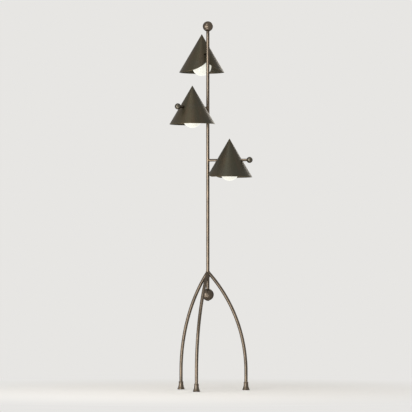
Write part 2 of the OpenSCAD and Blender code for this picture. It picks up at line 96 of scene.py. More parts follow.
class Marks(Enum):
    """Which way the maker's tool marks run, as lines per turn and lines per metre."""

    AROUND = (3.0, 1400.0)
    ALONG = (90.0, 7.0)
    SPUN = (5.0, 900.0)
    STREAKS = (26.0, 2.5)


# ---- Frames and meshes ----


def standing_frame(origin: Sequence[float], along: Sequence[float]) -> Array:
    """Frame at origin with X along a level direction and Z up.

    Args:
        origin: place of the frame's origin.
        along: direction of the frame's X, level.

    Returns:
        The frame as a 4 by 4 matrix: its columns are X, Z x X, Z and the origin.
    """
    x = np.array([along[0], along[1], 0.0])
    x /= np.linalg.norm(x)
    z = np.array([0.0, 0.0, 1.0])
    place = np.eye(4)
    place[:3, :4] = np.column_stack([x, np.cross(z, x), z, np.asarray(origin, float)])
    return place


# Turns a form that stands on +Z so that it points along +X.
LYING = np.array([
    [0.0, 0.0, 1.0, 0.0],
    [0.0, 1.0, 0.0, 0.0],
    [-1.0, 0.0, 0.0, 0.0],
    [0.0, 0.0, 0.0, 1.0],
])


def shifted(x: float = 0.0, y: float = 0.0, z: float = 0.0) -> Array:
    """Plain shift as a 4 by 4 matrix."""
    place = np.eye(4)
    place[:3, 3] = (x, y, z)
    return place


@dataclass(frozen=True)
class Patch:
    """A stretch of surface.

    points is (n, 3). faces are arrays (k, 3) or (k, 4) of point indices, and uvs are the UVs of
    their corners, in step. wear is (n,): 1 on a rubbed edge, 0 on plain surface.
    """

    points: Array
    faces: tuple[Array, ...]
    uvs: tuple[Array, ...]
    wear: Array

    def moved(self, place: Array) -> "Patch":
        """The same patch in another place."""
        return replace(self, points=self.points @ place[:3, :3].T + place[:3, 3])

    def coped(self, radius: float) -> "Patch":
        """The same patch cut to a round post on the Z axis: x becomes at least sqrt(radius^2 - y^2)."""
        x, y, z = self.points.T
        x = np.maximum(x, np.sqrt(np.clip(radius**2 - y**2, 0.0, None)))
        return replace(self, points=np.column_stack([x, y, z]))


def grid_patch(points: Array, uv: Array, wear: Array, wrap_rows: bool, hole: Array | None = None) -> Patch:
    """Surface through a grid of points whose columns run round and close.

    The normal is the column direction crossed with the row direction. A first or last row that
    is one point becomes a fan of triangles.

    Args:
        points: grid of points, (rows, columns, 3).
        uv: UVs, (rows or rows + 1, columns + 1, 2).
        wear: wear of each point, (rows, columns).
        wrap_rows: whether the last row joins the first.
        hole: True for each cell (row, column) that is left out.

    Returns:
        The surface.
    """
    rows, columns = points.shape[:2]
    low_tip = not wrap_rows and float(np.ptp(points[0], axis=0).max()) < POINT_SIZE
    high_tip = not wrap_rows and float(np.ptp(points[-1], axis=0).max()) < POINT_SIZE
    first, last = int(low_tip), rows - int(high_tip)
    count = last - first
    i, j = np.meshgrid(np.arange(count if wrap_rows else count - 1), np.arange(columns), indexing="ij")
    if hole is not None:
        open_cells = hole[first : first + len(i)]
        i, j = i[~open_cells], j[~open_cells]
    i, j = i.ravel(), j.ravel()
    steps = ((0, 0), (0, 1), (1, 1), (1, 0))
    quads = np.stack([(i + a) % count * columns + (j + b) % columns for a, b in steps], -1)
    faces = [quads]
    uvs = [np.stack([uv[i + a + first, j + b] for a, b in steps], 1)]
    ring = np.arange(columns)
    after = (ring + 1) % columns
    tips, tip_wear = [], []
    if low_tip:
        faces.append(np.column_stack([np.full(columns, count * columns), after, ring]))
        uvs.append(np.stack([uv[0, ring], uv[1, ring + 1], uv[1, ring]], 1))
        tips.append(points[0, :1])
        tip_wear.append(wear[0, :1])
    if high_tip:
        top = (count - 1) * columns
        tip = np.full(columns, count * columns + len(tips))
        faces.append(np.column_stack([tip, top + ring, top + after]))
        uvs.append(np.stack([uv[rows - 1, ring], uv[rows - 2, ring], uv[rows - 2, ring + 1]], 1))
        tips.append(points[-1, :1])
        tip_wear.append(wear[-1, :1])
    return Patch(
        np.concatenate([points[first:last].reshape(-1, 3), *tips]),
        tuple(faces),
        tuple(uvs),
        np.concatenate([wear[first:last].ravel(), *tip_wear]),
    )


def make_piece(
    name: str,
    patches: Sequence[Patch],
    finish: "Finish",
    body: str,
    stands_for: Sequence[str] = (),
    weld: bool = False,
) -> bpy.types.Object:
    """Puts patches into one mesh object, dresses it and lets it ride on a body.

    Args:
        name: name of the piece.
        patches: its surfaces.
        finish: its finish.
        body: the body of the frame that it moves with.
        stands_for: nodes of the frame that it replaces.
        weld: whether points that coincide are merged.

    Returns:
        The new object.
    """
    starts = np.cumsum([0] + [len(p.points) for p in patches])
    faces = [(f + start).tolist() for p, start in zip(patches, starts) for f in p.faces]
    uvs = np.concatenate([uv.reshape(-1, 2) for p in patches for uv in p.uvs])
    mesh = bpy.data.meshes.new(name)
    mesh.from_pydata(np.concatenate([p.points for p in patches]).tolist(), [], sum(faces, []))
    mesh.uv_layers.new(name="surface").data.foreach_set("uv", uvs.astype(np.float32).ravel())
    wear = np.concatenate([p.wear for p in patches]).astype(np.float32)
    mesh.attributes.new("wear", "FLOAT", "POINT").data.foreach_set("value", wear)
    if weld:
        form = bmesh.new()
        form.from_mesh(mesh)
        bmesh.ops.remove_doubles(form, verts=form.verts, dist=WELD_DISTANCE)
        form.to_mesh(mesh)
        form.free()
    mesh.polygons.foreach_set("use_smooth", np.ones(len(mesh.polygons), bool))
    mesh.set_sharp_from_angle(angle=math.radians(SHARP_DEGREES))
    mesh.update()
    piece = bpy.data.objects.new(name, mesh)
    bpy.context.scene.collection.objects.link(piece)
    mesh.materials.append(finish.material())
    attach(piece, body)
    if stands_for:
        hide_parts(*stands_for)
    log.info("%s: %d faces on %s", name, len(mesh.polygons), body)
    return piece


# ---- Turned forms ----


@dataclass(frozen=True)
class Profile:
    """Half section of a turned form: points (r, z) with the solid on their left, and their wear."""

    points: Array
    wear: Array
    closed: bool

    def densified(self, step: float) -> "Profile":
        """The same profile with points at most about one step apart.

        The new points lie at whole steps along it, but none within a quarter of a step of an old
        point.
        """
        ends = np.vstack([self.points, self.points[:1]]) if self.closed else self.points
        wear = np.append(self.wear, self.wear[0]) if self.closed else self.wear
        at = np.append(0.0, np.cumsum(np.linalg.norm(np.diff(ends, axis=0), axis=1)))
        extra = np.arange(step, at[-1], step)
        near = np.abs(extra[:, None] - at[None, :]).min(1)
        every = np.sort(np.append(at, extra[near > step / 4]))
        if self.closed:
            every = every[:-1]
        points = np.column_stack([np.interp(every, at, ends[:, 0]), np.interp(every, at, ends[:, 1])])
        return Profile(points, np.interp(every, at, wear), self.closed)


def soften(
    corners: Sequence[Sequence[float]], cuts: float | Sequence[float], closed: bool, steps: int = 5
) -> Profile:
    """Profile through corner points, each rounded off.

    A corner P turns into (1-t)^2 A + 2t(1-t) P + t^2 B, where A and B lie one cut away from P on
    its two sides. Wear is 4t(1-t) on the outer corners.

    Args:
        corners: the corner points (r, z), with the solid on their left.
        cuts: length cut off at each corner, or one length for all; 0 keeps a corner.
        closed: whether the last corner joins the first.
        steps: stretches of each rounding.

    Returns:
        The rounded profile.
    """
    p = np.asarray(corners, float)
    back, on = np.roll(p, 1, 0) - p, np.roll(p, -1, 0) - p
    back_l, on_l = np.linalg.norm(back, axis=1), np.linalg.norm(on, axis=1)
    cut = np.broadcast_to(np.asarray(cuts, float), len(p))
    cut = np.minimum(cut, LARGEST_CUT * np.minimum(back_l, on_l))
    if not closed:
        cut[[0, -1]] = 0.0
    a, b = p + back * (cut / back_l)[:, None], p + on * (cut / on_l)[:, None]
    t = np.linspace(0.0, 1.0, steps + 1)[None, :, None]
    points = ((1 - t) ** 2 * a[:, None] + 2 * t * (1 - t) * p[:, None] + t**2 * b[:, None]).reshape(-1, 2)
    outer = (back[:, 1] * on[:, 0] - back[:, 0] * on[:, 1] > 0) & (cut > 0)
    wear = (4 * t * (1 - t))[0, :, 0][None, :] * outer[:, None]
    keep = np.linalg.norm(points - np.roll(points, 1, 0), axis=1) > SAME_PLACE
    if not closed:
        keep[0] = True
    return Profile(points[keep], wear.ravel()[keep], closed)


def arc(centre: Sequence[float], radius: float, start: float, end: float, steps: int) -> Array:
    """Points (r, z) = centre + radius (cos t, sin t) for t from start to end, in degrees."""
    t = np.radians(np.linspace(start, end, steps + 1))
    return np.column_stack([centre[0] + radius * np.cos(t), centre[1] + radius * np.sin(t)])


def lathe(profile: Profile, sides: int = ROUND_SIDES) -> Patch:
    """Turned surface (r cos t, r sin t, z) over the profile's points (r, z) and the angles t.

    Args:
        profile: half section of the form.
        sides: number of angles.

    Returns:
        The surface, with UV (t in turns, length along the profile).
    """
    t = np.arange(sides) * TURN / sides
    r, z = profile.points[:, :1], profile.points[:, 1:]
    points = np.stack([r * np.cos(t), r * np.sin(t), z + 0 * t], -1)
    ends = np.vstack([profile.points, profile.points[:1]])
    along = np.append(0.0, np.cumsum(np.linalg.norm(np.diff(ends, axis=0), axis=1)))
    u, v = np.meshgrid(np.arange(sides + 1) / sides, along)
    wear = np.broadcast_to(profile.wear[:, None], (len(r), sides))
    return grid_patch(points, np.stack([u, v], -1), wear, profile.closed)


def bead_patch(on_rod: Array, corner: Array, on_post: Array, inside: Array, steps: int = 6) -> Patch:
    """Hollow bead of braze along a joint.

    Its section is the curve (1-t)^2 B + 2t(1-t) P + t^2 A from the post B to the rod A, pulled
    in towards the corner P, and one point hidden inside the metal.

    Args:
        on_rod: the bead's edge on the rod, (n, 3).
        corner: the line where rod and post meet, (n, 3).
        on_post: the bead's edge on the post, (n, 3).
        inside: a line just inside the metal, (n, 3).
        steps: stretches across the bead.

    Returns:
        The bead as a closed ring.
    """
    t = np.linspace(0.0, 1.0, steps + 1)[:, None, None]
    skin = (1 - t) ** 2 * on_post + 2 * t * (1 - t) * corner + t**2 * on_rod
    points = np.concatenate([skin, inside[None]])
    rows, columns = points.shape[:2]
    u, v = np.meshgrid(np.arange(columns + 1) / columns, np.arange(rows + 1) * MM)
    return grid_patch(points, np.stack([u, v], -1), np.zeros((rows, columns)), True)


def around_post(corner: Array, radius: float, reach: float, top: float) -> Array:
    """Points on a round post of the Z axis, one reach outside a closed line that lies on it.

    The post's skin is unrolled to (radius * angle, z). There each point moves by reach square to
    the line, away from what it encloses, and is rolled back.

    Args:
        corner: the closed line, (n, 3), counter-clockwise seen from outside.
        radius: radius of the post.
        reach: distance from the line.
        top: greatest height that a point may have.

    Returns:
        The moved points, (n, 3).
    """
    flat = np.column_stack([radius * np.arctan2(corner[:, 1], corner[:, 0]), corner[:, 2]])
    tangent = np.roll(flat, -1, 0) - np.roll(flat, 1, 0)
    outward = np.column_stack([tangent[:, 1], -tangent[:, 0]])
    flat = flat + reach * outward / np.linalg.norm(outward, axis=1)[:, None]
    angle = flat[:, 0] / radius
    return np.column_stack([radius * np.cos(angle), radius * np.sin(angle), np.minimum(flat[:, 1], top)])


# ---- Node trees ----

NOISE_MEAN = 0.5
MIX_FACTOR, MIX_A, MIX_B, MIX_RESULT = 0, 6, 7, 2  # sockets of a Mix node that mixes colours


def linear(red: int, green: int, blue: int) -> tuple[float, float, float, float]:
    """Colour from display values 0 to 255 as linear RGBA.

    Of the display value c as a share of 255, it is c / 12.92 up to 0.04045, and above that
    ((c + 0.055) / 1.055)^2.4.
    """
    c = np.array([red, green, blue]) / 255
    r, g, b = np.where(c <= 0.04045, c / 12.92, ((c + 0.055) / 1.055) ** 2.4)
    return float(r), float(g), float(b), 1.0


def grey(level: float) -> tuple[float, float, float, float]:
    """Grey of that linear level as RGBA."""
    return level, level, level, 1.0


class Board:
    """One node tree, with short calls that add nodes and join them."""

    def __init__(self, tree: bpy.types.NodeTree) -> None:
        """Takes over an empty tree."""
        self.tree = tree

    def add(self, kind: str, inputs: dict[Any, Any] | None = None, **settings: Any) -> bpy.types.Node:
        """Adds a node.

        Args:
            kind: the node's type name.
            inputs: what each input, by name or number, gets: a value or a socket to join.
            **settings: properties of the node.

        Returns:
            The node.
        """
        node = self.tree.nodes.new(kind)
        for key, value in settings.items():
            setattr(node, key, value)
        for key, value in (inputs or {}).items():
            self.feed(node.inputs[key], value)
        return node

    def feed(self, socket: bpy.types.NodeSocket, value: Any) -> None:
        """Joins a socket to the input, or sets the input to a value."""
        if isinstance(value, bpy.types.NodeSocket):
            self.tree.links.new(value, socket)
        else:
            socket.default_value = value

    def math(self, operation: str, a: Any, b: Any = 0.0) -> bpy.types.NodeSocket:
        """Result of one arithmetic step."""
        return self.add("ShaderNodeMath", {0: a, 1: b}, operation=operation).outputs[0]

    def weighted(self, base: float, *parts: tuple[bpy.types.NodeSocket, float]) -> Any:
        """Base plus each value times its weight.

        Args:
            base: the plain part.
            *parts: values with their weights.

        Returns:
            The sum.
        """
        total: Any = base
        for value, weight in parts:
            inputs = {0: value, 1: weight, 2: total}
            total = self.add("ShaderNodeMath", inputs, operation="MULTIPLY_ADD").outputs[0]
        return total

    def ramp(self, value: Any, low: float, high: float, to_low: float = 0.0, to_high: float = 1.0) -> Any:
        """Value carried smoothly from low..high to to_low..to_high and held there."""
        inputs = {"Value": value, "From Min": low, "From Max": high, "To Min": to_low, "To Max": to_high}
        return self.add("ShaderNodeMapRange", inputs, interpolation_type="SMOOTHSTEP").outputs[0]

    def noise(self, vector: Any, scale: float, detail: float = 3.0, roughness: float = 0.55) -> Any:
        """Noise value, about 0.5 on average."""
        inputs = {"Vector": vector, "Scale": scale, "Detail": detail, "Roughness": roughness}
        return self.add("ShaderNodeTexNoise", inputs).outputs[0]

    def mix(self, factor: Any, a: Any, b: Any) -> bpy.types.NodeSocket:
        """Colour a turned into colour b by a factor."""
        inputs = {MIX_FACTOR: factor, MIX_A: a, MIX_B: b}
        return self.add("ShaderNodeMix", inputs, data_type="RGBA").outputs[MIX_RESULT]

    def blend(self, factor: Any, a: bpy.types.Node, b: bpy.types.Node) -> bpy.types.NodeSocket:
        """Shader a turned into shader b by a factor."""
        inputs = {0: factor, 1: a.outputs[0], 2: b.outputs[0]}
        return self.add("ShaderNodeMixShader", inputs).outputs[0]

    def group(self, tree: bpy.types.NodeTree, inputs: dict[str, Any]) -> bpy.types.Node:
        """Places a node group and feeds its inputs."""
        node = self.tree.nodes.new("ShaderNodeGroup")
        node.node_tree = tree
        for key, value in inputs.items():
            self.feed(node.inputs[key], value)
        return node


def shared_group(
    name: str,
    inputs: dict[str, str],
    outputs: dict[str, str],
    wire: Callable[[Board, bpy.types.Node], dict[str, Any]],
) -> bpy.types.NodeTree:
    """Node group that several finishes use, built the first time it is asked for.

    Args:
        name: name of the group.
        inputs: kind of each input socket by name: Float or Vector.
        outputs: kind of each output socket by name: Float, Color or Vector.
        wire: builds the inside and gives what feeds each output.

    Returns:
        The group.
    """
    if name in bpy.data.node_groups:
        return bpy.data.node_groups[name]
    tree = bpy.data.node_groups.new(name, "ShaderNodeTree")
    for key, kind in inputs.items():
        tree.interface.new_socket(name=key, in_out="INPUT", socket_type="NodeSocket" + kind)
    for key, kind in outputs.items():
        tree.interface.new_socket(name=key, in_out="OUTPUT", socket_type="NodeSocket" + kind)
    board = Board(tree)
    source, sink = board.add("NodeGroupInput"), board.add("NodeGroupOutput")
    for key, socket in wire(board, source).items():
        board.feed(sink.inputs[key], socket)
    return tree


def patina_group() -> bpy.types.NodeTree:
    """Uneven ageing: wide clouds and fine specks, both 0 to 1."""

    def wire(board: Board, source: bpy.types.Node) -> dict[str, Any]:
        """Two noises of different scale, each spread over its whole range."""
        vector = source.outputs["Vector"]
        cloud = board.noise(vector, source.outputs["Cloud Scale"], detail=4.0, roughness=0.6)
        speck = board.noise(vector, source.outputs["Speck Scale"], detail=5.0, roughness=0.65)
        clouds, specks = board.ramp(cloud, low=0.33, high=0.68), board.ramp(speck, low=0.52, high=0.74)
        return {"Clouds": clouds, "Specks": specks}

    inputs = {"Vector": "Vector", "Cloud Scale": "Float", "Speck Scale": "Float"}
    return shared_group("patina", inputs, {"Clouds": "Float", "Specks": "Float"}, wire)


def rub_group() -> bpy.types.NodeTree:
    """Rubbed edges: the wear of the mesh, broken up by noise."""

    def wire(board: Board, source: bpy.types.Node) -> dict[str, Any]:
        """Wear plus centred noise, cut off softly."""
        ragged = board.noise(source.outputs["Vector"], source.outputs["Scale"])
        level = board.math("SUBTRACT", board.math("ADD", source.outputs["Wear"], ragged), NOISE_MEAN)
        bare = board.ramp(level, low=0.35, high=1.0)
        return {"Mask": board.math("MULTIPLY", bare, source.outputs["Amount"])}

    inputs = {"Wear": "Float", "Vector": "Vector", "Scale": "Float", "Amount": "Float"}
    return shared_group("rubbed edges", inputs, {"Mask": "Float"}, wire)


def tool_marks_group() -> bpy.types.NodeTree:
    """Fine lines left by a tool, from the UV: u in turns and v in metres."""

    def wire(board: Board, source: bpy.types.Node) -> dict[str, Any]:
        """Noise that is stretched along the lines."""
        parts = board.add("ShaderNodeSeparateXYZ", {0: source.outputs["UV"]})
        u = board.math("MULTIPLY", parts.outputs[0], source.outputs["Per Turn"])
        v = board.math("MULTIPLY", parts.outputs[1], source.outputs["Per Metre"])
        vector = board.add("ShaderNodeCombineXYZ", {0: u, 1: v}).outputs[0]
        lines = board.noise(vector, scale=1.0, detail=2.0, roughness=0.5)
        return {"Lines": board.ramp(lines, low=0.3, high=0.7)}

    inputs = {"UV": "Vector", "Per Turn": "Float", "Per Metre": "Float"}
    return shared_group("tool marks", inputs, {"Lines": "Float"}, wire)


def dust_group() -> bpy.types.NodeTree:
    """Dust settled on what faces up."""

    def wire(board: Board, source: bpy.types.Node) -> dict[str, Any]:
        """Square of the normal's upward share, times noise and amount."""
        up = board.add("ShaderNodeSeparateXYZ", {0: source.outputs["Normal"]}).outputs[2]
        up = board.math("POWER", board.math("MAXIMUM", up, 0.0), 2.0)
        patchy = board.noise(source.outputs["Vector"], DUST_SCALE, detail=4.0)
        patchy = board.ramp(patchy, low=0.3, high=0.75, to_low=0.35)
        share = board.math("MULTIPLY", up, patchy)
        return {"Mask": board.math("MULTIPLY", share, source.outputs["Amount"])}

    inputs = {"Normal": "Vector", "Vector": "Vector", "Amount": "Float"}
    return shared_group("settled dust", inputs, {"Mask": "Float"}, wire)


# ---- Finishes ----

DUST = linear(150, 143, 130)
DUST_SCALE = 55.0
BUMP_STRENGTH = 0.5
BASE_IOR = 1.5  # of glass, lacquer, glaze and rubber

# How much of the roughness each effect adds.
CLOUD_ROUGHENS = -0.04
MARK_ROUGHENS = 0.05
SPECK_ROUGHENS = 0.04
DUST_ROUGHENS = 0.5


@dataclass(frozen=True)
class Finish:
    """A surface finish. slot names a material slot of the record; it is not used."""

    name: str
    slot: str

    def material(self) -> bpy.types.Material:
        """The finish as a material, built the first time it is asked for."""
        found = bpy.data.materials.get(self.name)
        if found is not None:
            return found
        made = bpy.data.materials.new(self.name)
        made.use_nodes = True
        made.node_tree.nodes.clear()
        board = Board(made.node_tree)
        shader = board.add("ShaderNodeBsdfPrincipled")
        board.add("ShaderNodeOutputMaterial", {"Surface": shader.outputs[0]})
        self.dress(board, shader, board.add("ShaderNodeTexCoord"))
        return made

    def dress(self, board: Board, shader: bpy.types.Node, at: bpy.types.Node) -> None:
        """Sets the shader and wires its patterns.

        Args:
            board: the material's tree.
            shader: its Principled BSDF.
            at: its texture coordinates.
        """
        raise NotImplementedError

    def settings(self, shader: bpy.types.Node, **values: float | tuple[float, ...]) -> None:
        """Sets plain numbers and colours on the shader, named by socket with _ for a space."""
        for key, value in values.items():
            shader.inputs[key.replace("_", " ")].default_value = value

    def patina(self, board: Board, at: bpy.types.Node, clouds: float, specks: float) -> tuple[Any, Any]:
        """Clouds and specks of the two scales."""
        inputs = {"Vector": at.outputs["Object"], "Cloud Scale": clouds, "Speck Scale": specks}
        patina = board.group(patina_group(), inputs)
        return patina.outputs["Clouds"], patina.outputs["Specks"]

    def worn(self, board: Board) -> bpy.types.NodeSocket:
        """The wear of the mesh."""
        return board.add("ShaderNodeAttribute", attribute_name="wear").outputs["Fac"]

    def rub(self, board: Board, at: bpy.types.Node, scale: float, amount: float) -> bpy.types.NodeSocket:
        """Mask of the rubbed edges."""
        inputs = {"Wear": self.worn(board), "Vector": at.outputs["Object"]}
        return board.group(rub_group(), inputs | {"Scale": scale, "Amount": amount}).outputs["Mask"]

    def lines(self, board: Board, at: bpy.types.Node, marks: Marks) -> bpy.types.NodeSocket:
        """Fine lines that run as the marks do."""
        around, along = marks.value
        inputs = {"UV": at.outputs["UV"], "Per Turn": around, "Per Metre": along}
        return board.group(tool_marks_group(), inputs).outputs["Lines"]

    def dusty(self, board: Board, at: bpy.types.Node, amount: float) -> bpy.types.NodeSocket:
        """Mask of the settled dust."""
        inputs = {"Normal": at.outputs["Normal"], "Vector": at.outputs["Object"], "Amount": amount}
        return board.group(dust_group(), inputs).outputs["Mask"]

    def relief(self, board: Board, shader: bpy.types.Node, height: Any, depth: float) -> None:
        """Lets a height of 0 to 1 bend the normal as a relief of that depth would."""
        inputs = {"Strength": BUMP_STRENGTH, "Distance": depth, "Height": height}
        board.feed(shader.inputs["Normal"], board.add("ShaderNodeBump", inputs).outputs[0])


@dataclass(frozen=True)
class AgedMetal(Finish):
    """Plated metal aged by hand: clouds, specks, rubbed edges, tool marks and a little dust.

    slant is the share of its gloss that the patina leaves where it is seen at a slant, and
    speck_height the height of a speck as a share of the marks' depth.
    """

    deep: Colour = (73, 64, 53)
    warm: Colour = (93, 81, 67)
    rubbed: Colour = (150, 132, 108)
    speck: Colour = (50, 43, 35)
    roughness: float = 0.27
    coat: float = 0.22
    coat_roughness: float = 0.2
    coat_ior: float = 1.9
    slant: float = 0.3
    marks: Marks = Marks.AROUND
    mark_depth: float = 0.012 * MM
    cloud_scale: float = 14.0
    speck_scale: float = 420.0
    speck_share: float = 0.25
    speck_height: float = -0.4
    rub_scale: float = 260.0
    rub_share: float = 0.85
    dust: float = 0.12

    def dress(self, board: Board, shader: bpy.types.Node, at: bpy.types.Node) -> None:
        """Clouds turn the deep tone warm; specks darken, edges brighten, dust dulls."""
        self.settings(shader, Metallic=1.0, IOR=BASE_IOR, Specular_Tint=grey(self.slant))
        self.settings(shader, Coat_Weight=self.coat, Coat_Roughness=self.coat_roughness)
        self.settings(shader, Coat_IOR=self.coat_ior)
        clouds, specks = self.patina(board, at, self.cloud_scale, self.speck_scale)
        rub = self.rub(board, at, self.rub_scale, self.rub_share)
        lines, dust = self.lines(board, at, self.marks), self.dusty(board, at, self.dust)
        colour = board.mix(clouds, linear(*self.deep), linear(*self.warm))
        colour = board.mix(board.math("MULTIPLY", specks, self.speck_share), colour, linear(*self.speck))
        colour = board.mix(rub, colour, linear(*self.rubbed))
        board.feed(shader.inputs["Base Color"], board.mix(dust, colour, DUST))
        rough = board.weighted(
            self.roughness, (clouds, CLOUD_ROUGHENS), (lines, MARK_ROUGHENS), (specks, SPECK_ROUGHENS),
            (dust, DUST_ROUGHENS),
        )
        board.feed(shader.inputs["Roughness"], rough)
        height = board.weighted(0.0, (lines, 1.0), (specks, self.speck_height))
        self.relief(board, shader, height, self.mark_depth)


@dataclass(frozen=True)
class SpunSheet(Finish):
    """Satin dark bronze on spun sheet: streaks down the cone, clouds, rubbed rims, a little dust.

    slant and speck_height are as for aged metal.
    """

    olive: Colour = (60, 56, 40)
    umber: Colour = (70, 59, 45)
    slate: Colour = (56, 57, 50)
    rubbed: Colour = (128, 112, 84)
    metallic: float = 0.85
    roughness: float = 0.47
    coat: float = 0.15
    coat_roughness: float = 0.35
    slant: float = 0.72
    cloud_scale: float = 11.0
    slate_share: float = 0.6
    speck_scale: float = 300.0
    speck_height: float = 0.5
    rub_scale: float = 180.0
    rub_share: float = 0.4
    ring_depth: float = 0.02 * MM
    dust: float = 0.1

    def dress(self, board: Board, shader: bpy.types.Node, at: bpy.types.Node) -> None:
        """Streaks go from olive to umber, clouds add slate; rims are rubbed."""
        self.settings(shader, Metallic=self.metallic, IOR=BASE_IOR, Specular_Tint=grey(self.slant))
        self.settings(shader, Coat_Weight=self.coat, Coat_Roughness=self.coat_roughness)
        clouds, specks = self.patina(board, at, self.cloud_scale, self.speck_scale)
        streaks, rings = self.lines(board, at, Marks.STREAKS), self.lines(board, at, Marks.SPUN)
        rub = self.rub(board, at, self.rub_scale, self.rub_share)
        dust = self.dusty(board, at, self.dust)
        colour = board.mix(streaks, linear(*self.olive), linear(*self.umber))
        colour = board.mix(board.math("MULTIPLY", clouds, self.slate_share), colour, linear(*self.slate))
        colour = board.mix(rub, colour, linear(*self.rubbed))
        board.feed(shader.inputs["Base Color"], board.mix(dust, colour, DUST))
        rough = board.weighted(
            self.roughness, (streaks, SPECK_ROUGHENS), (specks, SPECK_ROUGHENS), (dust, DUST_ROUGHENS)
        )
        board.feed(shader.inputs["Roughness"], rough)
        height = board.weighted(0.0, (rings, 1.0), (specks, self.speck_height))
        self.relief(board, shader, height, self.ring_depth)


@dataclass(frozen=True)
class OpalGlass(Finish):
    """White opal glass that glows softly and evenly; its neck, marked by wear, glows less."""

    white: Colour = (134, 133, 128)
    milk: Colour = (124, 123, 117)
    glow: Colour = (255, 255, 243)
    neck: Colour = (150, 145, 132)
    milk_scale: float = 18.0
    milk_low: float = 0.35
    milk_high: float = 0.7
    strength: float = 0.72
    roughness: float = 0.12
    coat: float = 0.3
    coat_roughness: float = 0.04

    def dress(self, board: Board, shader: bpy.types.Node, at: bpy.types.Node) -> None:
        """A glossy white body with an even emission that fades at the neck."""
        self.settings(shader, Roughness=self.roughness, IOR=BASE_IOR)
        self.settings(shader, Coat_Weight=self.coat, Coat_Roughness=self.coat_roughness)
        milky = board.noise(at.outputs["Object"], self.milk_scale)
        milky = board.ramp(milky, self.milk_low, self.milk_high)
        board.feed(shader.inputs["Base Color"], board.mix(milky, linear(*self.white), linear(*self.milk)))
        glow = board.mix(self.worn(board), linear(*self.glow), linear(*self.neck))
        board.feed(shader.inputs["Emission Color"], glow)
        shader.inputs["Emission Strength"].default_value = self.strength


@dataclass(frozen=True)
class Plain(Finish):
    """A small part's finish: a base tone with a second tone in clouds, specks and a fine relief."""

    base: Colour = (128, 128, 126)
    second: Colour = (110, 110, 108)
    metallic: float = 0.0
    roughness: float = 0.5
    coat: float = 0.0
    cloud_scale: float = 60.0
    speck_scale: float = 900.0
    depth: float = 0.02 * MM
    coat_roughness: float = 0.08

    def dress(self, board: Board, shader: bpy.types.Node, at: bpy.types.Node) -> None:
        """Clouds mix the two tones; specks roughen and dent."""
        self.settings(shader, Metallic=self.metallic, IOR=BASE_IOR)
        self.settings(shader, Coat_Weight=self.coat, Coat_Roughness=self.coat_roughness)
        clouds, specks = self.patina(board, at, self.cloud_scale, self.speck_scale)
        board.feed(shader.inputs["Base Color"], board.mix(clouds, linear(*self.base), linear(*self.second)))
        board.feed(shader.inputs["Roughness"], board.weighted(self.roughness, (specks, SPECK_ROUGHENS)))
        self.relief(board, shader, specks, self.depth)


TUBE_BRONZE = AgedMetal("aged bronze tube", "bronze_tube", marks=Marks.ALONG, mark_depth=0.006 * MM)
TURNED_BRONZE = AgedMetal("aged bronze turned", "bronze_turned", roughness=0.38, mark_depth=0.008 * MM)
KNOB_BRONZE = AgedMetal(
    "aged bronze knob", "bronze_turned", deep=(58, 54, 42), warm=(72, 66, 52), roughness=0.46, coat=0.35,
    mark_depth=0.008 * MM,
)
BRAZE = AgedMetal("braze", "bronze_tube", deep=(70, 54, 36), warm=(120, 96, 62), roughness=0.36, coat=0.2)
SHADE_BRONZE = SpunSheet("satin bronze sheet", "shade_bronze")
CUP_BRONZE = SpunSheet("satin bronze cup", "cup_bronze", roughness=0.38)
OPAL = OpalGlass("opal glass", "opal_glass")
ZINC = Plain("zinc plate", "zinc_steel", (150, 152, 150), (118, 120, 122), metallic=0.95, roughness=0.32)
BRASS = Plain("brass", "brass_fitting", (182, 144, 74), (150, 116, 58), metallic=0.95, roughness=0.28)
CAP_METAL = Plain(
    "bulb cap metal", "cap_metal", (186, 186, 184), (160, 160, 160), metallic=0.9, roughness=0.3
)
CERAMIC = Plain(
    "glazed ceramic", "socket_ceramic", (232, 228, 216), (222, 216, 202), roughness=0.16, coat=0.4,
    cloud_scale=30.0,
)
SLEEVE = Plain("splice ceramic", "splice_ceramic", (226, 222, 212), (212, 206, 194), roughness=0.45)
RUBBER = Plain("black rubber", "pad_rubber", (38, 36, 32), (28, 27, 25), roughness=0.72, depth=0.06 * MM)
BUSH = Plain("black bush plastic", "bush_plastic", (32, 30, 27), (26, 25, 23), roughness=0.34)
WIRE = Plain("wire sleeve", "wire_sleeve", (216, 210, 194), (202, 194, 176), roughness=0.62)
FIBRE = Plain("washer fibre", "washer_fibre", (84, 66, 48), (66, 52, 38), roughness=0.8, depth=0.05 * MM)


# ---- Measures read from the frame ----


def centre_of(node: str) -> Array:
    """Middle of a node's box."""
    low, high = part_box(node)
    return (np.array(low) + np.array(high)) / 2


def half_width(node: str) -> float:
    """Half of a node's width along X."""
    low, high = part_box(node)
    return (high.x - low.x) / 2


def reach_from(node: str, point: Array) -> float:
    """Greatest distance along X or Y from a point to the sides of a node's box."""
    low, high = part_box(node)
    return max(point[0] - low.x, high.x - point[0], point[1] - low.y, high.y - point[1])


# ---- Stand ----


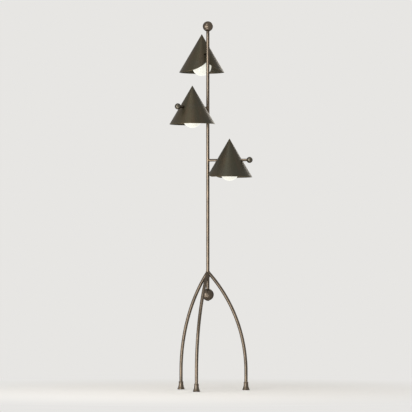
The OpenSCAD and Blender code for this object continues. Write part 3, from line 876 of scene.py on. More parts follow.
@dataclass(frozen=True)
class Pole:
    """The pole tube, its two hollow balls and the collar at the cord's inlet."""

    radius: float
    bottom: float
    top: float
    top_ball_radius: float
    lower_ball_radius: float
    lower_ball_z: float
    collar_radius: float
    wall: float = 1.5 * MM
    gap: float = 0.1 * MM
    tube_edge: float = 0.3 * MM
    seat_edge: float = 0.5 * MM
    nipple_radius: float = 5 * MM
    collar_bore: float = 3.5 * MM
    collar_edge: float = 0.6 * MM
    collar_seat_edge: float = 0.2 * MM
    tube_step: float = 25 * MM

    @classmethod
    def from_frame(cls) -> "Pole":
        """Reads the sizes; the lower ball's centre follows from the flat that seats the collar."""
        low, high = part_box("pole")
        ball_r, collar_r = half_width("lower_ball"), half_width("cord_bush")
        ball_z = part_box("lower_ball")[0].z + math.sqrt(ball_r**2 - collar_r**2)
        return cls(half_width("pole"), low.z, high.z, half_width("top_ball"), ball_r, ball_z, collar_r)

    def tube(self) -> Patch:
        """The tube as a closed ring section carried up the axis."""
        outer, inner = self.radius, self.radius - self.wall
        corners = [(inner, self.bottom), (outer, self.bottom), (outer, self.top), (inner, self.top)]
        section = soften(corners, self.tube_edge, closed=True, steps=3)
        return lathe(section.densified(self.tube_step), ROD_SIDES)

    def hollow_ball(self, radius: float) -> Patch:
        """Shell with one hole below: down the inside from the top, round the hole, up the outside."""
        hole = self.radius + self.gap
        inner = radius - self.wall
        start_in, start_out = math.degrees(math.acos(hole / inner)), math.degrees(math.acos(hole / radius))
        inside = arc((0, 0), inner, 90, -start_in, steps=40)
        outside = arc((0, 0), radius, -start_out, 90, steps=64)
        points = np.vstack([inside, outside])
        points[[0, -1], 0] = 0.0
        cuts = np.zeros(len(points))
        cuts[len(inside)] = self.seat_edge
        return lathe(soften(points, cuts, closed=False))

    def pierced_ball(self) -> Patch:
        """Shell with the pole's hole above and a flat with the nipple's hole below."""
        radius, inner = self.lower_ball_radius, self.lower_ball_radius - self.wall
        hole, bore = self.radius + self.gap, self.nipple_radius + self.gap
        flat_z = -math.sqrt(radius**2 - self.collar_radius**2)
        flat_start = math.degrees(math.asin(flat_z / radius))
        hole_end = math.degrees(math.acos(hole / radius))
        hole_start = math.degrees(math.acos(hole / inner))
        bore_end = -math.degrees(math.acos(bore / inner))
        outside = arc((0, 0), radius, flat_start, hole_end, steps=72)
        inside = arc((0, 0), inner, hole_start, bore_end, steps=60)
        points = np.vstack([[(bore, flat_z)], outside, inside])
        cuts = np.zeros(len(points))
        cuts[[1, len(outside)]] = self.seat_edge
        return lathe(soften(points, cuts, closed=True))

    def collar(self) -> Patch:
        """Round collar with a rounded mouth for the cord and the nipple's seat above."""
        low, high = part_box("cord_bush")
        seat = self.nipple_radius + self.gap / 2
        mid = (low.z + high.z) / 2
        corners = [
            (self.collar_bore, low.z), (self.collar_radius, low.z), (self.collar_radius, high.z),
            (seat, high.z), (seat, mid), (self.collar_bore, mid),
        ]
        mouth, fine = self.collar_edge, self.collar_seat_edge
        return lathe(soften(corners, [mouth, mouth, fine, 0.0, 0.0, fine], closed=True), ROD_SIDES)

    def build(self) -> None:
        """Builds the four pieces."""
        ball_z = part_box("top_ball")[1].z - self.top_ball_radius
        make_piece("pole_tube", [self.tube()], TUBE_BRONZE, "stand", ["pole"])
        top = self.hollow_ball(self.top_ball_radius).moved(shifted(z=ball_z))
        make_piece("top_knob", [top], TURNED_BRONZE, "stand", ["top_ball"])
        lower = self.pierced_ball().moved(shifted(z=self.lower_ball_z))
        make_piece("lower_knob", [lower], TURNED_BRONZE, "stand", ["lower_ball"])
        make_piece("cord_collar", [self.collar()], BUSH, "stand", ["cord_bush"])


@dataclass(frozen=True)
class Leg:
    """One bowed tube leg with its bell foot, its rubber pad and the braze on the hub."""

    side: Side
    place: Array
    reach: float
    radius: float
    bottom: float
    hub_top: float
    foot_top: float
    foot_low: float
    pad_top: float
    pad_radius: float
    hub_radius: float = 10 * MM
    straight_top: float = 89 * MM
    joint_drop: float = 3 * MM
    wall: float = 1.5 * MM
    foot_top_radius: float = 11.5 * MM
    foot_base_radius: float = 18 * MM
    lip_height: float = 2.5 * MM
    lip_step: float = 1 * MM
    flare_radius: float = 60 * MM
    groove_depth: float = 0.35 * MM
    groove_drop: float = 4 * MM
    groove_width: float = 0.6 * MM
    lip_edge: float = 0.8 * MM
    foot_top_edge: float = 0.7 * MM
    foot_bore_edge: float = 0.5 * MM
    screw_radius: float = 3 * MM
    screw_head_radius: float = 5 * MM
    screw_head_height: float = 4 * MM
    gap: float = 0.1 * MM
    pad_rings: tuple[float, ...] = (5 * MM, 8.5 * MM, 12 * MM)
    ring_width: float = 1.4 * MM
    ring_depth: float = 0.7 * MM
    ring_edge: float = 0.15 * MM
    pad_edge: float = 1.0 * MM
    pad_top_edge: float = 0.4 * MM
    bead: float = 2.2 * MM
    bead_sunk: float = 0.5 * MM
    bead_margin: float = 0.3 * MM
    columns: int = 48

    @classmethod
    def from_frame(cls, side: Side) -> "Leg":
        """Reads the sizes of one leg; its X runs from the pole's axis to the foot.

        A leg bows only inwards, so the right leg's box goes on past its foot by the tube's radius.
        """
        leg, foot, pad = (f"{part}_{side.value}" for part in ("leg", "foot", "pad"))
        spot = centre_of(pad)
        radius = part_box("leg_right")[1].x - centre_of("pad_right")[0]
        return cls(
            side, standing_frame((0, 0, 0), spot), math.hypot(spot[0], spot[1]), radius,
            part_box(leg)[0].z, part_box("leg_hub")[1].z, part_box(foot)[1].z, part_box(foot)[0].z,
            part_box(pad)[1].z, half_width(pad),
        )

    @property
    def bow_radius(self) -> float:
        """Radius of the arc that is upright at the straight stretch and meets the axis at the joint."""
        height = self.hub_top - self.joint_drop - self.straight_top
        return (height**2 + self.reach**2) / (2 * self.reach)

    def end_angle(self, radius: float, turn: Array) -> Array:
        """Bow angle at which a line of the tube meets the hub.

        On the line, x = reach - R + (R + radius cos t) cos(angle); on the hub, x is
        sqrt(hub^2 - (radius sin t)^2).
        """
        bow = self.bow_radius
        x = np.sqrt(self.hub_radius**2 - (radius * np.sin(turn)) ** 2)
        return np.arccos((x - self.reach + bow) / (bow + radius * np.cos(turn)))

    def on_bow(self, radius: float, turn: Array, angle: Array) -> Array:
        """Points of the skin on the bow: the section (radius cos t, radius sin t) turned by angle."""
        out = self.bow_radius + radius * np.cos(turn)
        x = self.reach - self.bow_radius + out * np.cos(angle)
        return np.stack([x, radius * np.sin(turn) + 0 * angle, self.straight_top + out * np.sin(angle)], -1)

    def skin(self, radius: float, rows: int = 90, straight_rows: int = 6) -> tuple[Array, Array]:
        """One wall of the tube from its lower end to the hub, and the length along it.

        Args:
            radius: radius of the wall.
            rows: rows on the bow.
            straight_rows: rows on the straight stretch.

        Returns:
            Points (rows, columns, 3) and lengths (rows,).
        """
        turn = np.arange(self.columns)[None, :] * TURN / self.columns
        z = np.linspace(self.bottom, self.straight_top, straight_rows, endpoint=False)[:, None] + 0 * turn
        x, y = self.reach + radius * np.cos(turn) + 0 * z, radius * np.sin(turn) + 0 * z
        upright = np.stack([x, y, z], -1)
        angle = np.linspace(0.0, 1.0, rows)[:, None] * self.end_angle(radius, turn)
        points = np.concatenate([upright, self.on_bow(radius, turn + 0 * angle, angle)])
        step = np.linalg.norm(np.diff(points[:, 0], axis=0), axis=1)
        return points, np.append(0.0, np.cumsum(step))

    def tube(self) -> Patch:
        """Outer wall upwards and inner wall downwards, closed into one shell."""
        outer, up = self.skin(self.radius)
        inner, _ = self.skin(self.radius - self.wall)
        points = np.concatenate([outer, inner[::-1]])
        along = np.concatenate([up, up[-1] + self.wall + up, [2 * up[-1] + 2 * self.wall]])
        u, v = np.meshgrid(np.arange(self.columns + 1) / self.columns, along)
        return grid_patch(points, np.stack([u, v], -1), np.zeros(points.shape[:2]), True)

    def braze(self) -> Patch:
        """Bead round the leg's end on the hub."""
        turn = np.arange(2 * self.columns) * TURN / (2 * self.columns)
        end = self.end_angle(self.radius, turn)
        corner = self.on_bow(self.radius, turn, end)
        on_leg = self.on_bow(self.radius, turn, end - self.bead / self.bow_radius)
        on_hub = around_post(corner, self.hub_radius, self.bead, self.hub_top - self.bead_margin)
        inside = self.on_bow(self.radius - self.bead_sunk, turn, end + self.bead_sunk / self.bow_radius)
        return bead_patch(on_leg, corner, on_hub, inside)

    def foot(self) -> Patch:
        """Bell foot: a lip, a hollow flare of one arc and a fine turned groove under the top.

        The arc's centre lies sqrt(flare radius^2 - chord^2 / 4) beside the middle of its chord. The
        groove is a bell curve over the height.
        """
        low = np.array([self.foot_base_radius - self.lip_step, self.foot_low + self.lip_height])
        high = np.array([self.foot_top_radius, self.foot_top])
        way = low - high
        length = float(np.linalg.norm(way))
        offset = math.sqrt(self.flare_radius**2 / length**2 - 0.25)
        centre = (low + high) / 2 + offset * np.array([-way[1], way[0]])
        angles = [math.degrees(math.atan2(*(p - centre)[::-1])) % 360 for p in (low, high)]
        flare = arc(centre, self.flare_radius, angles[0], angles[1], steps=28)
        groove_at = np.exp(-(((flare[:, 1] - self.foot_top + self.groove_drop) / self.groove_width) ** 2))
        flare[:, 0] -= self.groove_depth * groove_at
        bore, seat = self.radius + self.gap, self.pad_radius + self.gap
        screw, head = self.screw_radius + self.gap, self.screw_head_radius + self.gap
        head_top = self.pad_top + self.screw_head_height + self.gap
        base = self.foot_base_radius
        points = np.vstack([
            [(seat, self.foot_low), (base, self.foot_low), (base, self.foot_low + self.lip_height)],
            flare,
            [(bore, self.foot_top), (bore, self.bottom), (screw, self.bottom), (screw, head_top),
             (head, head_top), (head, self.pad_top), (seat, self.pad_top)],
        ])
        cuts = np.zeros(len(points))
        cuts[[1, 2]] = self.lip_edge
        cuts[2 + len(flare)] = self.foot_top_edge
        cuts[3 + len(flare)] = self.foot_bore_edge
        return lathe(soften(points, cuts, closed=True)).moved(shifted(x=self.reach))

    def pad(self) -> Patch:
        """Rubber pad with a rounded rim and ring grooves below, whose sides each take a quarter."""
        start = np.array(self.pad_rings)[:, None]
        across = np.array([0.0, 0.25, 0.75, 1.0]) * self.ring_width
        depth = np.tile([0.0, 1.0, 1.0, 0.0], len(self.pad_rings)) * self.ring_depth
        under = np.column_stack([(start + across).ravel(), depth])
        rim = [(self.pad_radius, 0.0), (self.pad_radius, self.pad_top), (0.0, self.pad_top)]
        points = np.vstack([[(0.0, 0.0)], under, rim])
        cuts = np.full(len(points), self.ring_edge)
        cuts[-3] = self.pad_edge
        cuts[-2] = self.pad_top_edge
        return lathe(soften(points, cuts, closed=False, steps=3), sides=72).moved(shifted(x=self.reach))

    def build(self) -> None:
        """Builds the tube, the braze, the foot and the pad."""
        name = self.side.value
        tube, braze = self.tube().moved(self.place), self.braze().moved(self.place)
        foot, pad = self.foot().moved(self.place), self.pad().moved(self.place)
        make_piece(f"leg_tube_{name}", [tube], TUBE_BRONZE, "stand", [f"leg_{name}"])
        make_piece(f"leg_braze_{name}", [braze], BRAZE, "stand")
        make_piece(f"bell_foot_{name}", [foot], TURNED_BRONZE, "stand", [f"foot_{name}"])
        make_piece(f"foot_pad_{name}", [pad], RUBBER, "stand", [f"pad_{name}"])


# ---- Heads ----

WASHER = 1.2 * MM  # thickness of a swivel's washer


@dataclass(frozen=True)
class Arm:
    """Rod from the pole to a head's swivel, with its braze on the pole."""

    level: Level
    place: Array
    pole_radius: float
    shoulder: float
    end: float
    radius: float = 6.25 * MM
    spigot: float = 5 * MM
    bore: float = 3 * MM
    bead: float = 1.8 * MM
    bead_sunk: float = 0.4 * MM
    bead_tuck: float = 0.92
    groove_from_end: float = 6 * MM
    groove_width: float = 3 * MM
    groove_depth: float = 0.8 * MM
    groove_edge: float = 0.1 * MM
    shoulder_edge: float = 0.5 * MM
    shoulder_fillet: float = 0.2 * MM
    end_edge: float = 0.5 * MM
    bore_edge: float = 0.3 * MM

    @classmethod
    def from_frame(cls, level: Level, head: "Head") -> "Arm":
        """Reads the rod's shoulder and end from where the head's boss and cup begin."""
        place = standing_frame((0, 0, head.place[2, 3]), head.place[:3, 0])
        axis = head.axis_distance
        shoulder, end = axis - head.boss_end - WASHER, axis - head.cup_radius
        return cls(level, place, half_width("pole"), shoulder, end)

    def rod(self) -> Patch:
        """Rod along X: bore, spigot with a shallow groove, shoulder, and an end coped to the pole."""
        middle = self.end - self.groove_from_end
        near, far = middle - self.groove_width / 2, middle + self.groove_width / 2
        spigot, sunk = self.spigot, self.spigot - self.groove_depth
        corners = [
            (self.bore, 0.0), (self.radius, 0.0), (self.radius, self.shoulder), (spigot, self.shoulder),
            (spigot, near), (sunk, near), (sunk, far), (spigot, far), (spigot, self.end),
            (self.bore, self.end),
        ]
        cuts = [0.0, 0.0, self.shoulder_edge, self.shoulder_fillet, *4 * [self.groove_edge], self.end_edge,
                self.bore_edge]
        section = soften(corners, cuts, closed=True, steps=4).densified(ROW_STEP)
        return lathe(section, ROD_SIDES).moved(LYING).coped(self.pole_radius)

    def braze(self) -> Patch:
        """Bead round the rod on the pole."""
        turn = np.arange(ROUND_SIDES) * TURN / ROUND_SIDES
        y, z = self.radius * np.cos(turn), self.radius * np.sin(turn)
        corner = np.column_stack([np.sqrt(self.pole_radius**2 - y**2), y, z])
        on_rod = corner + np.array([self.bead, 0.0, 0.0])
        tucked = np.array([1.0, self.bead_tuck, self.bead_tuck])
        inside = corner * tucked - np.array([self.bead_sunk, 0.0, 0.0])
        on_pole = around_post(corner, self.pole_radius, self.bead, top=math.inf)
        return bead_patch(on_rod, corner, on_pole, inside)

    def build(self) -> None:
        """Builds the rod and its braze."""
        name = self.level.value
        make_piece(f"arm_rod_{name}", [self.rod().moved(self.place)], TUBE_BRONZE, "stand", [f"arm_{name}"])
        make_piece(f"arm_braze_{name}", [self.braze().moved(self.place)], BRAZE, "stand")


@dataclass(frozen=True)
class SheetGrid:
    """How the shade's sheet is laid out in columns and rows.

    The columns beside the notch and across it are counted apart. The level rows are one cell
    apart, so many above and below the rod holes. A window round a hole reaches window_half
    columns and window_rise rows to either side, and window_rings rings fill it, drawn together
    towards the hole by the power ring_bias.
    """

    side_columns: int = 74
    notch_columns: int = 61
    cell: float = 3.75 * MM
    rows_above: int = 31
    rows_below: int = 8
    cap_rows: int = 5
    edge_rows: int = 18
    rim_steps: int = 8
    window_half: int = 8
    window_rise: int = 4
    window_rings: int = 6
    ring_bias: float = 1.4
    halvings: int = 48


@dataclass(frozen=True)
class ConeSheet:
    """The spun cone of a shade in its head's frame, with its notch and its two rod holes.

    In the formulas, t is the angle about the axis, s the distance from the sharp tip down the
    slant, and a the cone's half angle.
    """

    tip: float
    rim: float
    rim_radius: float
    thickness: float = 1.2 * MM
    tip_round: float = 1.6 * MM
    notch_height: float = 45.1 * MM
    notch_half: float = 88 * MM
    notch_side: float = 200 * MM
    hole_in: float = 6.75 * MM
    hole_out: float = 6.35 * MM
    ripple: float = 0.1 * MM
    rub_width: float = 2.2 * MM
    rub_inside: float = 0.5
    layout: SheetGrid = SheetGrid()

    @property
    def half_angle(self) -> float:
        """Half angle of the cone."""
        return math.atan(self.rim_radius / (self.tip - self.rim))

    @property
    def hole_slant(self) -> float:
        """Distance down the slant to the rod holes, which lie at the height 0."""
        return self.tip / math.cos(self.half_angle)

    def on_sheet(self, turn: Array, s: Array, depth: Array | float) -> Array:
        """Points of the cone's sheet.

        Below the rounded tip, the skin is (s sin a, tip - s cos a) turned about Z, and a point
        inside the sheet lies depth below it along the normal (cos a, sin a). On the tip it is a
        ball cap of radius tip_round that meets the cone without a corner. A ripple keeps the sheet
        from being perfect: at the share u of the way down, its depth is ripple / 4 times
        (1 + cos(3t + 9u)) (1 + cos(2t - 14u)), times 16 (u (1 - u))^2, which fades it out at the
        tip and the rim.

        Args:
            turn: angles about the axis.
            s: distances down the slant.
            depth: depths below the skin.

        Returns:
            The points, in the head's frame.
        """
        a = self.half_angle
        slant = (self.tip - self.rim) / math.cos(a)
        on_cap = self.tip_round / math.tan(a)
        share = np.clip(s / slant, 0.0, 1.0)
        wave = 0.25 * (1 + np.cos(3 * turn + 9 * share)) * (1 + np.cos(2 * turn - 14 * share))
        depth = depth + self.ripple * wave * 16 * (share * (1 - share)) ** 2
        polar = np.clip(s / on_cap, 0.0, 1.0) * (math.pi / 2 - a)
        cap_z = self.tip - self.tip_round / math.sin(a)
        capped = s < on_cap
        r = np.where(
            capped, (self.tip_round - depth) * np.sin(polar),
            s * math.sin(a) - depth * math.cos(a),
        )
        z = np.where(
            capped, cap_z + (self.tip_round - depth) * np.cos(polar),
            self.tip - s * math.cos(a) - depth * math.sin(a),
        )
        return np.stack([r * np.cos(turn), r * np.sin(turn), z], -1)

    def notch_z(self, y: Array) -> Array:
        """Height of the notch's edge at a distance y from the middle.

        It is the lower side of a circle through the notch's foot and its top, so both sides of
        the notch bulge into it. Beyond the foot it is the rim.
        """
        foot, top = np.array([self.notch_half, 0.0]), np.array([0.0, self.notch_height])
        way = top - foot
        length = float(np.linalg.norm(way))
        offset = math.sqrt(self.notch_side**2 - length**2 / 4) / length
        centre = (foot + top) / 2 + offset * np.array([way[1], -way[0]])
        height = centre[1] - np.sqrt(np.clip(self.notch_side**2 - (y - centre[0]) ** 2, 0.0, None))
        return self.rim + np.where(y < self.notch_half, np.clip(height, 0.0, None), 0.0)

    def edge_slant(self, turn: Array) -> Array:
        """Distance down the slant to the rim or the notch at each angle, found by halving."""
        a = self.half_angle
        off = np.abs(np.angle(np.exp(1j * (turn - math.pi))))
        near = np.zeros_like(turn)
        far = np.full_like(turn, (self.tip - self.rim) / math.cos(a))
        rim_s = far.copy()
        for _ in range(self.layout.halvings):
            s = (near + far) / 2
            y = s * math.sin(a) * np.sin(off)
            below = self.tip - s * math.cos(a) < self.notch_z(y)
            near, far = np.where(below, near, s), np.where(below, s, far)
        in_notch = (off < math.pi / 2) & (rim_s * math.sin(a) * np.sin(off) < self.notch_half)
        return np.where(in_notch, (near + far) / 2, rim_s)

    def column_turns(self) -> Array:
        """Angles of the columns: even beside the notch, even across it, one on each corner of it."""
        corner = math.asin(self.notch_half / self.rim_radius)
        side = np.linspace(0, math.pi - corner, self.layout.side_columns)
        front = np.linspace(-corner, corner, self.layout.notch_columns)
        return np.concatenate([side[:-1], math.pi + front[:-1], TURN - side[:0:-1]])

    def level_rows(self) -> Array:
        """Distances down the slant of the level rows: close on the rounded tip, then a cell apart."""
        grid = self.layout
        level = self.hole_slant + grid.cell * np.arange(-grid.rows_above, grid.rows_below)
        cap = self.tip_round / math.tan(self.half_angle) * np.linspace(0.0, 1.0, grid.cap_rows)
        return np.concatenate([cap, level[level > cap[-1] + grid.cell / 3]])

    def way_out(self, turn: Array, edge: Array) -> tuple[Array, Array]:
        """Unit way out of the sheet at its edge, as its parts round the cone and down it.

        Where the edge is s = e(t), the way is (-e', e sin a) / sqrt(e'^2 + (e sin a)^2).

        Args:
            turn: the columns' angles.
            edge: distance down the slant to the edge at each.

        Returns:
            The part round the cone and the part down the slant.
        """
        around = np.concatenate([turn[-1:] - TURN, turn, turn[:1] + TURN])
        gradient = np.gradient(np.concatenate([edge[-1:], edge, edge[:1]]), around)[1:-1]
        wide = edge * math.sin(self.half_angle)
        reach = np.hypot(gradient, wide)
        return -gradient / reach, wide / reach

    def round_edge(self, turn: Array, s: Array, way: tuple[Array, Array]) -> Array:
        """Half round that closes the sheet from its inner skin to its outer skin.

        It is M + h (sin b N + cos b W) for b from -90 to 90 degrees, its ends left out: M is the
        edge's middle line, h half the thickness, N the cone's normal and W the way out.

        Args:
            turn: angles of the middle line.
            s: its distances down the slant.
            way: the way out, round the cone and down it.

        Returns:
            The points, (steps, columns, 3).
        """
        a, half = self.half_angle, self.thickness / 2
        cos, sin, flat = np.cos(turn), np.sin(turn), 0 * turn
        normal = np.stack([math.cos(a) * cos, math.cos(a) * sin, math.sin(a) + flat], -1)
        down = np.stack([math.sin(a) * cos, math.sin(a) * sin, -math.cos(a) + flat], -1)
        across = np.stack([-sin, cos, flat], -1)
        outward = way[0][:, None] * across + way[1][:, None] * down
        bend = np.radians(np.linspace(-90, 90, self.layout.rim_steps + 1))[1:-1, None, None]
        return self.on_sheet(turn, s, half) + half * (np.sin(bend) * normal + np.cos(bend) * outward)

    def window_cells(self, rows: int, columns: int, middle_row: int, middles: Sequence[int]) -> Array:
        """True for the grid's cells that the windows round the holes leave out, on both skins."""
        wide = np.arange(-self.layout.window_half, self.layout.window_half)
        tall = np.arange(-self.layout.window_rise, self.layout.window_rise)
        cells = np.zeros((rows, columns), bool)
        for column in middles:
            for row in (middle_row, rows - 1 - middle_row):
                cells[np.ix_(row + tall, (column + wide) % columns)] = True
        return cells

    def patches(self) -> list[Patch]:
        """The cone as one closed sheet with a round edge, a notch and two rod holes.

        Rows run down the inside, round the edge and up the outside. Above the notch they lie
        level; below they are spaced evenly down to the edge. Each hole is a window in this grid,
        filled by rings that blend from the window's border to the circle. Wear is
        exp(-(d / rub_width)^2) at the distance d from the edge, and less inside.

        Returns:
            The grid and the two windows' fillings; their borders coincide.
        """
        turn, level = self.column_turns(), self.level_rows()
        edge, half = self.edge_slant(turn), self.thickness / 2
        way = self.way_out(turn, edge)
        edge_turn = turn + way[0] * -half / (edge * math.sin(self.half_angle))
        edge_s = edge - way[1] * half
        share = np.linspace(0.0, 1.0, self.layout.edge_rows + 1)[1:, None]
        rows_s = np.vstack([level[:, None] + 0 * turn, level[-1] + share * (edge_s - level[-1])])
        rows_turn = np.vstack([0 * level[:, None] + turn, turn + share**2 * (edge_turn - turn)])
        outer = self.on_sheet(rows_turn, rows_s, 0.0)
        inner = self.on_sheet(rows_turn, rows_s, self.thickness)
        rim = self.round_edge(edge_turn, edge_s, way)
        points = np.concatenate([inner, rim, outer[::-1]])

        on_rim = np.zeros((len(rim), len(turn)))
        along = np.concatenate([rows_s, edge_s + half + on_rim, rows_s[::-1]])
        turns = np.concatenate([rows_turn, edge_turn + on_rim, rows_turn[::-1]])
        uv = np.stack([turns / TURN, along], -1)
        uv = np.concatenate([uv, uv[:, :1] + np.array([1.0, 0.0])], 1)
        rubbed = np.exp(-(((edge[None] - rows_s) / self.rub_width) ** 2))
        wear = np.concatenate([rubbed * self.rub_inside, 1 + on_rim, rubbed[::-1]])

        row = int(np.argmin(np.abs(level - self.hole_slant)))
        holes = {0: self.hole_out, int(np.argmin(np.abs(turn - math.pi))): self.hole_in}
        cells = self.window_cells(len(points), len(turn), row, list(holes))
        fillings = [self.hole_filling(turn, level, at, row, radius) for at, radius in holes.items()]
        return [grid_patch(points, uv, wear, False, cells), *fillings]

    def hole_filling(self, turn: Array, level: Array, column: int, row: int, radius: float) -> Patch:
        """Rings from a window's border to a round hole, through the sheet and back.

        The hole is bored along X: its edge has y = radius cos t and z = radius sin t, so that on a
        skin at some depth s = (tip - depth sin a - z) / cos a and sin(turn) = y / r. Wear is
        exp(-2 n^2) on the nth ring from the edge.

        Args:
            turn: the grid's angles.
            level: the grid's level rows.
            column: column of the hole's middle.
            row: row of the hole's middle.
            radius: radius of the hole.

        Returns:
            The filling.
        """
        a, grid = self.half_angle, self.layout
        wide, tall, rings = grid.window_half, grid.window_rise, grid.window_rings
        c = np.concatenate([np.full(2 * tall, wide), np.arange(wide, -wide, -1),
                            np.full(2 * tall, -wide), np.arange(-wide, wide)])
        k = np.concatenate([np.arange(tall, -tall, -1), np.full(2 * wide, -tall),
                            np.arange(-tall, tall), np.full(2 * wide, tall)])
        centre_turn = turn[column]
        border_turn = np.angle(np.exp(1j * (turn[(column + c) % len(turn)] - centre_turn)))
        border_s = level[row + k]
        direction = np.arctan2(level[row] - border_s, level[row] * math.sin(a) * border_turn)
        across, z = radius * np.cos(direction), radius * np.sin(direction)
        share = np.linspace(1.0, 0.0, rings + 1)[:, None] ** grid.ring_bias

        grids, uvs = [], []
        for depth in (0.0, self.thickness):
            s = (self.tip - depth * math.sin(a) - z) / math.cos(a)
            angle = np.arcsin(across / (s * math.sin(a) - depth * math.cos(a)))
            ring_turn = centre_turn + share * border_turn + (1 - share) * angle
            ring_s = share * border_s + (1 - share) * s
            grids.append(self.on_sheet(ring_turn, ring_s, depth))
            uvs.append(np.stack([ring_turn / TURN, ring_s], -1))
        points = np.concatenate([grids[0], grids[1][::-1]])
        uv = np.concatenate([uvs[0], uvs[1][::-1]])
        uv = np.concatenate([uv, uv[:, :1]], 1)
        edge = np.exp(-2.0 * (np.arange(rings + 1) - rings) ** 2)
        wear = np.concatenate([edge, edge[::-1]])[:, None] + np.zeros(len(c))
        return grid_patch(points, uv, wear, False)


@dataclass(frozen=True)
class Head:
    """One head: cone shade, globe, outer rod and ball. X runs outwards along its arm, Z up."""

    level: Level
    place: Array
    axis_distance: float
    cone: ConeSheet
    globe_radius: float
    globe_low: float
    ball_radius: float
    ball_x: float
    cup_radius: float = 22 * MM
    boss_end: float = 34 * MM
    rod_radius: float = 6.25 * MM
    tenon: float = 3.95 * MM
    tenon_length: float = 12.5 * MM
    tenon_edge: float = 0.2 * MM
    rod_edge: float = 0.4 * MM
    seat_depth: float = 1 * MM
    seat_gap: float = 0.05 * MM
    seat_edge: float = 0.5 * MM
    glass: float = 1 * MM
    neck_low: float = 16 * MM
    neck_top: float = 12.4 * MM
    cap_foot: float = 10.9 * MM
    neck_in_cap: float = 4 * MM
    neck_bend: float = 2 * MM
    glow_end: float = 0.8
    glow_fade: float = 0.35

    @classmethod
    def from_frame(cls, level: Level) -> "Head":
        """Reads a head's place from its joint and its sizes from its nodes' boxes."""
        name = level.value
        joint = next(j for j in frame["joints"] if j["child"] == f"head_{name}")
        place = standing_frame(joint["pos_m"], joint["axis"])
        centre = place[:3, 3]
        shade, globe, ball = (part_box(f"{part}_{name}") for part in ("shade", "bulb_glass", "arm_ball"))
        ball_centre = centre_of(f"arm_ball_{name}")
        ball_radius = (ball[1].z - ball[0].z) / 2
        tip, rim = shade[1].z - centre[2], shade[0].z - centre[2]
        cone = ConeSheet(tip, rim, reach_from(f"shade_{name}", centre))
        return cls(
            level, place, math.hypot(centre[0], centre[1]), cone, (globe[1].x - globe[0].x) / 2,
            globe[0].z - centre[2], ball_radius, float(np.linalg.norm(ball_centre[:2] - centre[:2])),
        )

    def bulb(self) -> Patch:
        """Opal globe with a tapered neck: up the outside, over the neck's edge, down the inside.

        Wear marks where the glow ends: from glow_end radii above the globe's middle it rises from 0
        to 1 over glow_fade radii as u^2 (3 - 2u).
        """
        radius, middle = self.globe_radius, self.globe_low + self.globe_radius
        turn_in = math.degrees(math.acos(self.neck_low / radius))
        outside = arc((0, middle), radius, -90, turn_in, steps=84)
        neck_end = self.cap_foot + self.neck_in_cap
        neck = [(self.neck_top, self.cap_foot), (self.neck_top, neck_end)]
        inner = radius - self.glass
        turn_back = math.degrees(math.acos((self.neck_low - self.glass) / inner))
        inside = arc((0, middle), inner, turn_back, -90, steps=64)
        back = [(self.neck_top - self.glass, neck_end), (self.neck_top - self.glass, self.cap_foot)]
        points = np.vstack([outside, neck, back, inside])
        points[[0, -1], 0] = 0.0
        cuts = np.zeros(len(points))
        cuts[[len(outside) - 1, len(outside)]] = self.neck_bend
        profile = soften(points, cuts, closed=False).densified(ROW_STEP)
        z = profile.points[:, 1]
        fade = np.clip((z - (middle + self.glow_end * radius)) / (self.glow_fade * radius), 0.0, 1.0)
        return lathe(replace(profile, wear=fade**2 * (3 - 2 * fade)))

    def outer_rod(self) -> Patch:
        """Rod with a tenon at either end, into the cup's boss and into the ball."""
        shoulder = self.ball_x - self.ball_radius + self.seat_depth
        start = self.boss_end - self.tenon_length
        corners = [
            (0, start), (self.tenon, start), (self.tenon, self.boss_end),
            (self.rod_radius, self.boss_end), (self.rod_radius, shoulder), (self.tenon, shoulder),
            (self.tenon, self.ball_x), (0, self.ball_x),
        ]
        fine = self.tenon_edge
        section = soften(corners, [0, fine, 0, self.rod_edge, fine, 0, fine, 0], closed=False)
        return lathe(section.densified(ROW_STEP), ROD_SIDES).moved(LYING)

    def ball(self) -> Patch:
        """Ball with a round-edged recess for the rod."""
        seat, bottom = self.rod_radius + self.seat_gap, -self.ball_radius + self.seat_depth
        start = -math.degrees(math.acos(seat / self.ball_radius))
        skin = arc((0, 0), self.ball_radius, start, 90, steps=56)
        points = np.vstack([[(0.0, bottom), (seat, bottom)], skin])
        points[-1, 0] = 0.0
        cuts = np.zeros(len(points))
        cuts[2] = self.seat_edge
        form = lathe(soften(points, cuts, closed=False), sides=80)
        return form.moved(shifted(z=self.ball_x)).moved(LYING)

    def build(self) -> None:
        """Builds the four pieces of the head that show."""
        name, body = self.level.value, f"head_{self.level.value}"
        shade = [patch.moved(self.place) for patch in self.cone.patches()]
        globe, rod = self.bulb().moved(self.place), self.outer_rod().moved(self.place)
        ball = self.ball().moved(self.place)
        make_piece(f"shade_cone_{name}", shade, SHADE_BRONZE, body, [f"shade_{name}"], weld=True)
        make_piece(f"opal_globe_{name}", [globe], OPAL, body, [f"bulb_glass_{name}"])
        make_piece(f"outer_rod_{name}", [rod], TUBE_BRONZE, body, [f"outer_arm_{name}"])
        make_piece(f"arm_knob_{name}", [ball], KNOB_BRONZE, body, [f"arm_ball_{name}"])


# ---- Parts that keep their own solids ----

KEPT_PARTS: dict[str, Finish] = {
    "leg_hub": TUBE_BRONZE,
    "leg_plugs": ZINC,
    "foot_screws": ZINC,
    "hub_screws": ZINC,
    "lower_nipple": BRASS,
    "pole_bush": BRASS,
    "top_plug": ZINC,
    "feed_cable": WIRE,
    "arm_leads": WIRE,
    "splice_sleeves": SLEEVE,
    "swivel_washers": FIBRE,
    "shade_plug": ZINC,
    "holder_cup": CUP_BRONZE,
    "socket": CERAMIC,
    "socket_contacts": BRASS,
    "bulb_cap": CAP_METAL,
    "head_fixings": ZINC,
    "head_lead": WIRE,
}


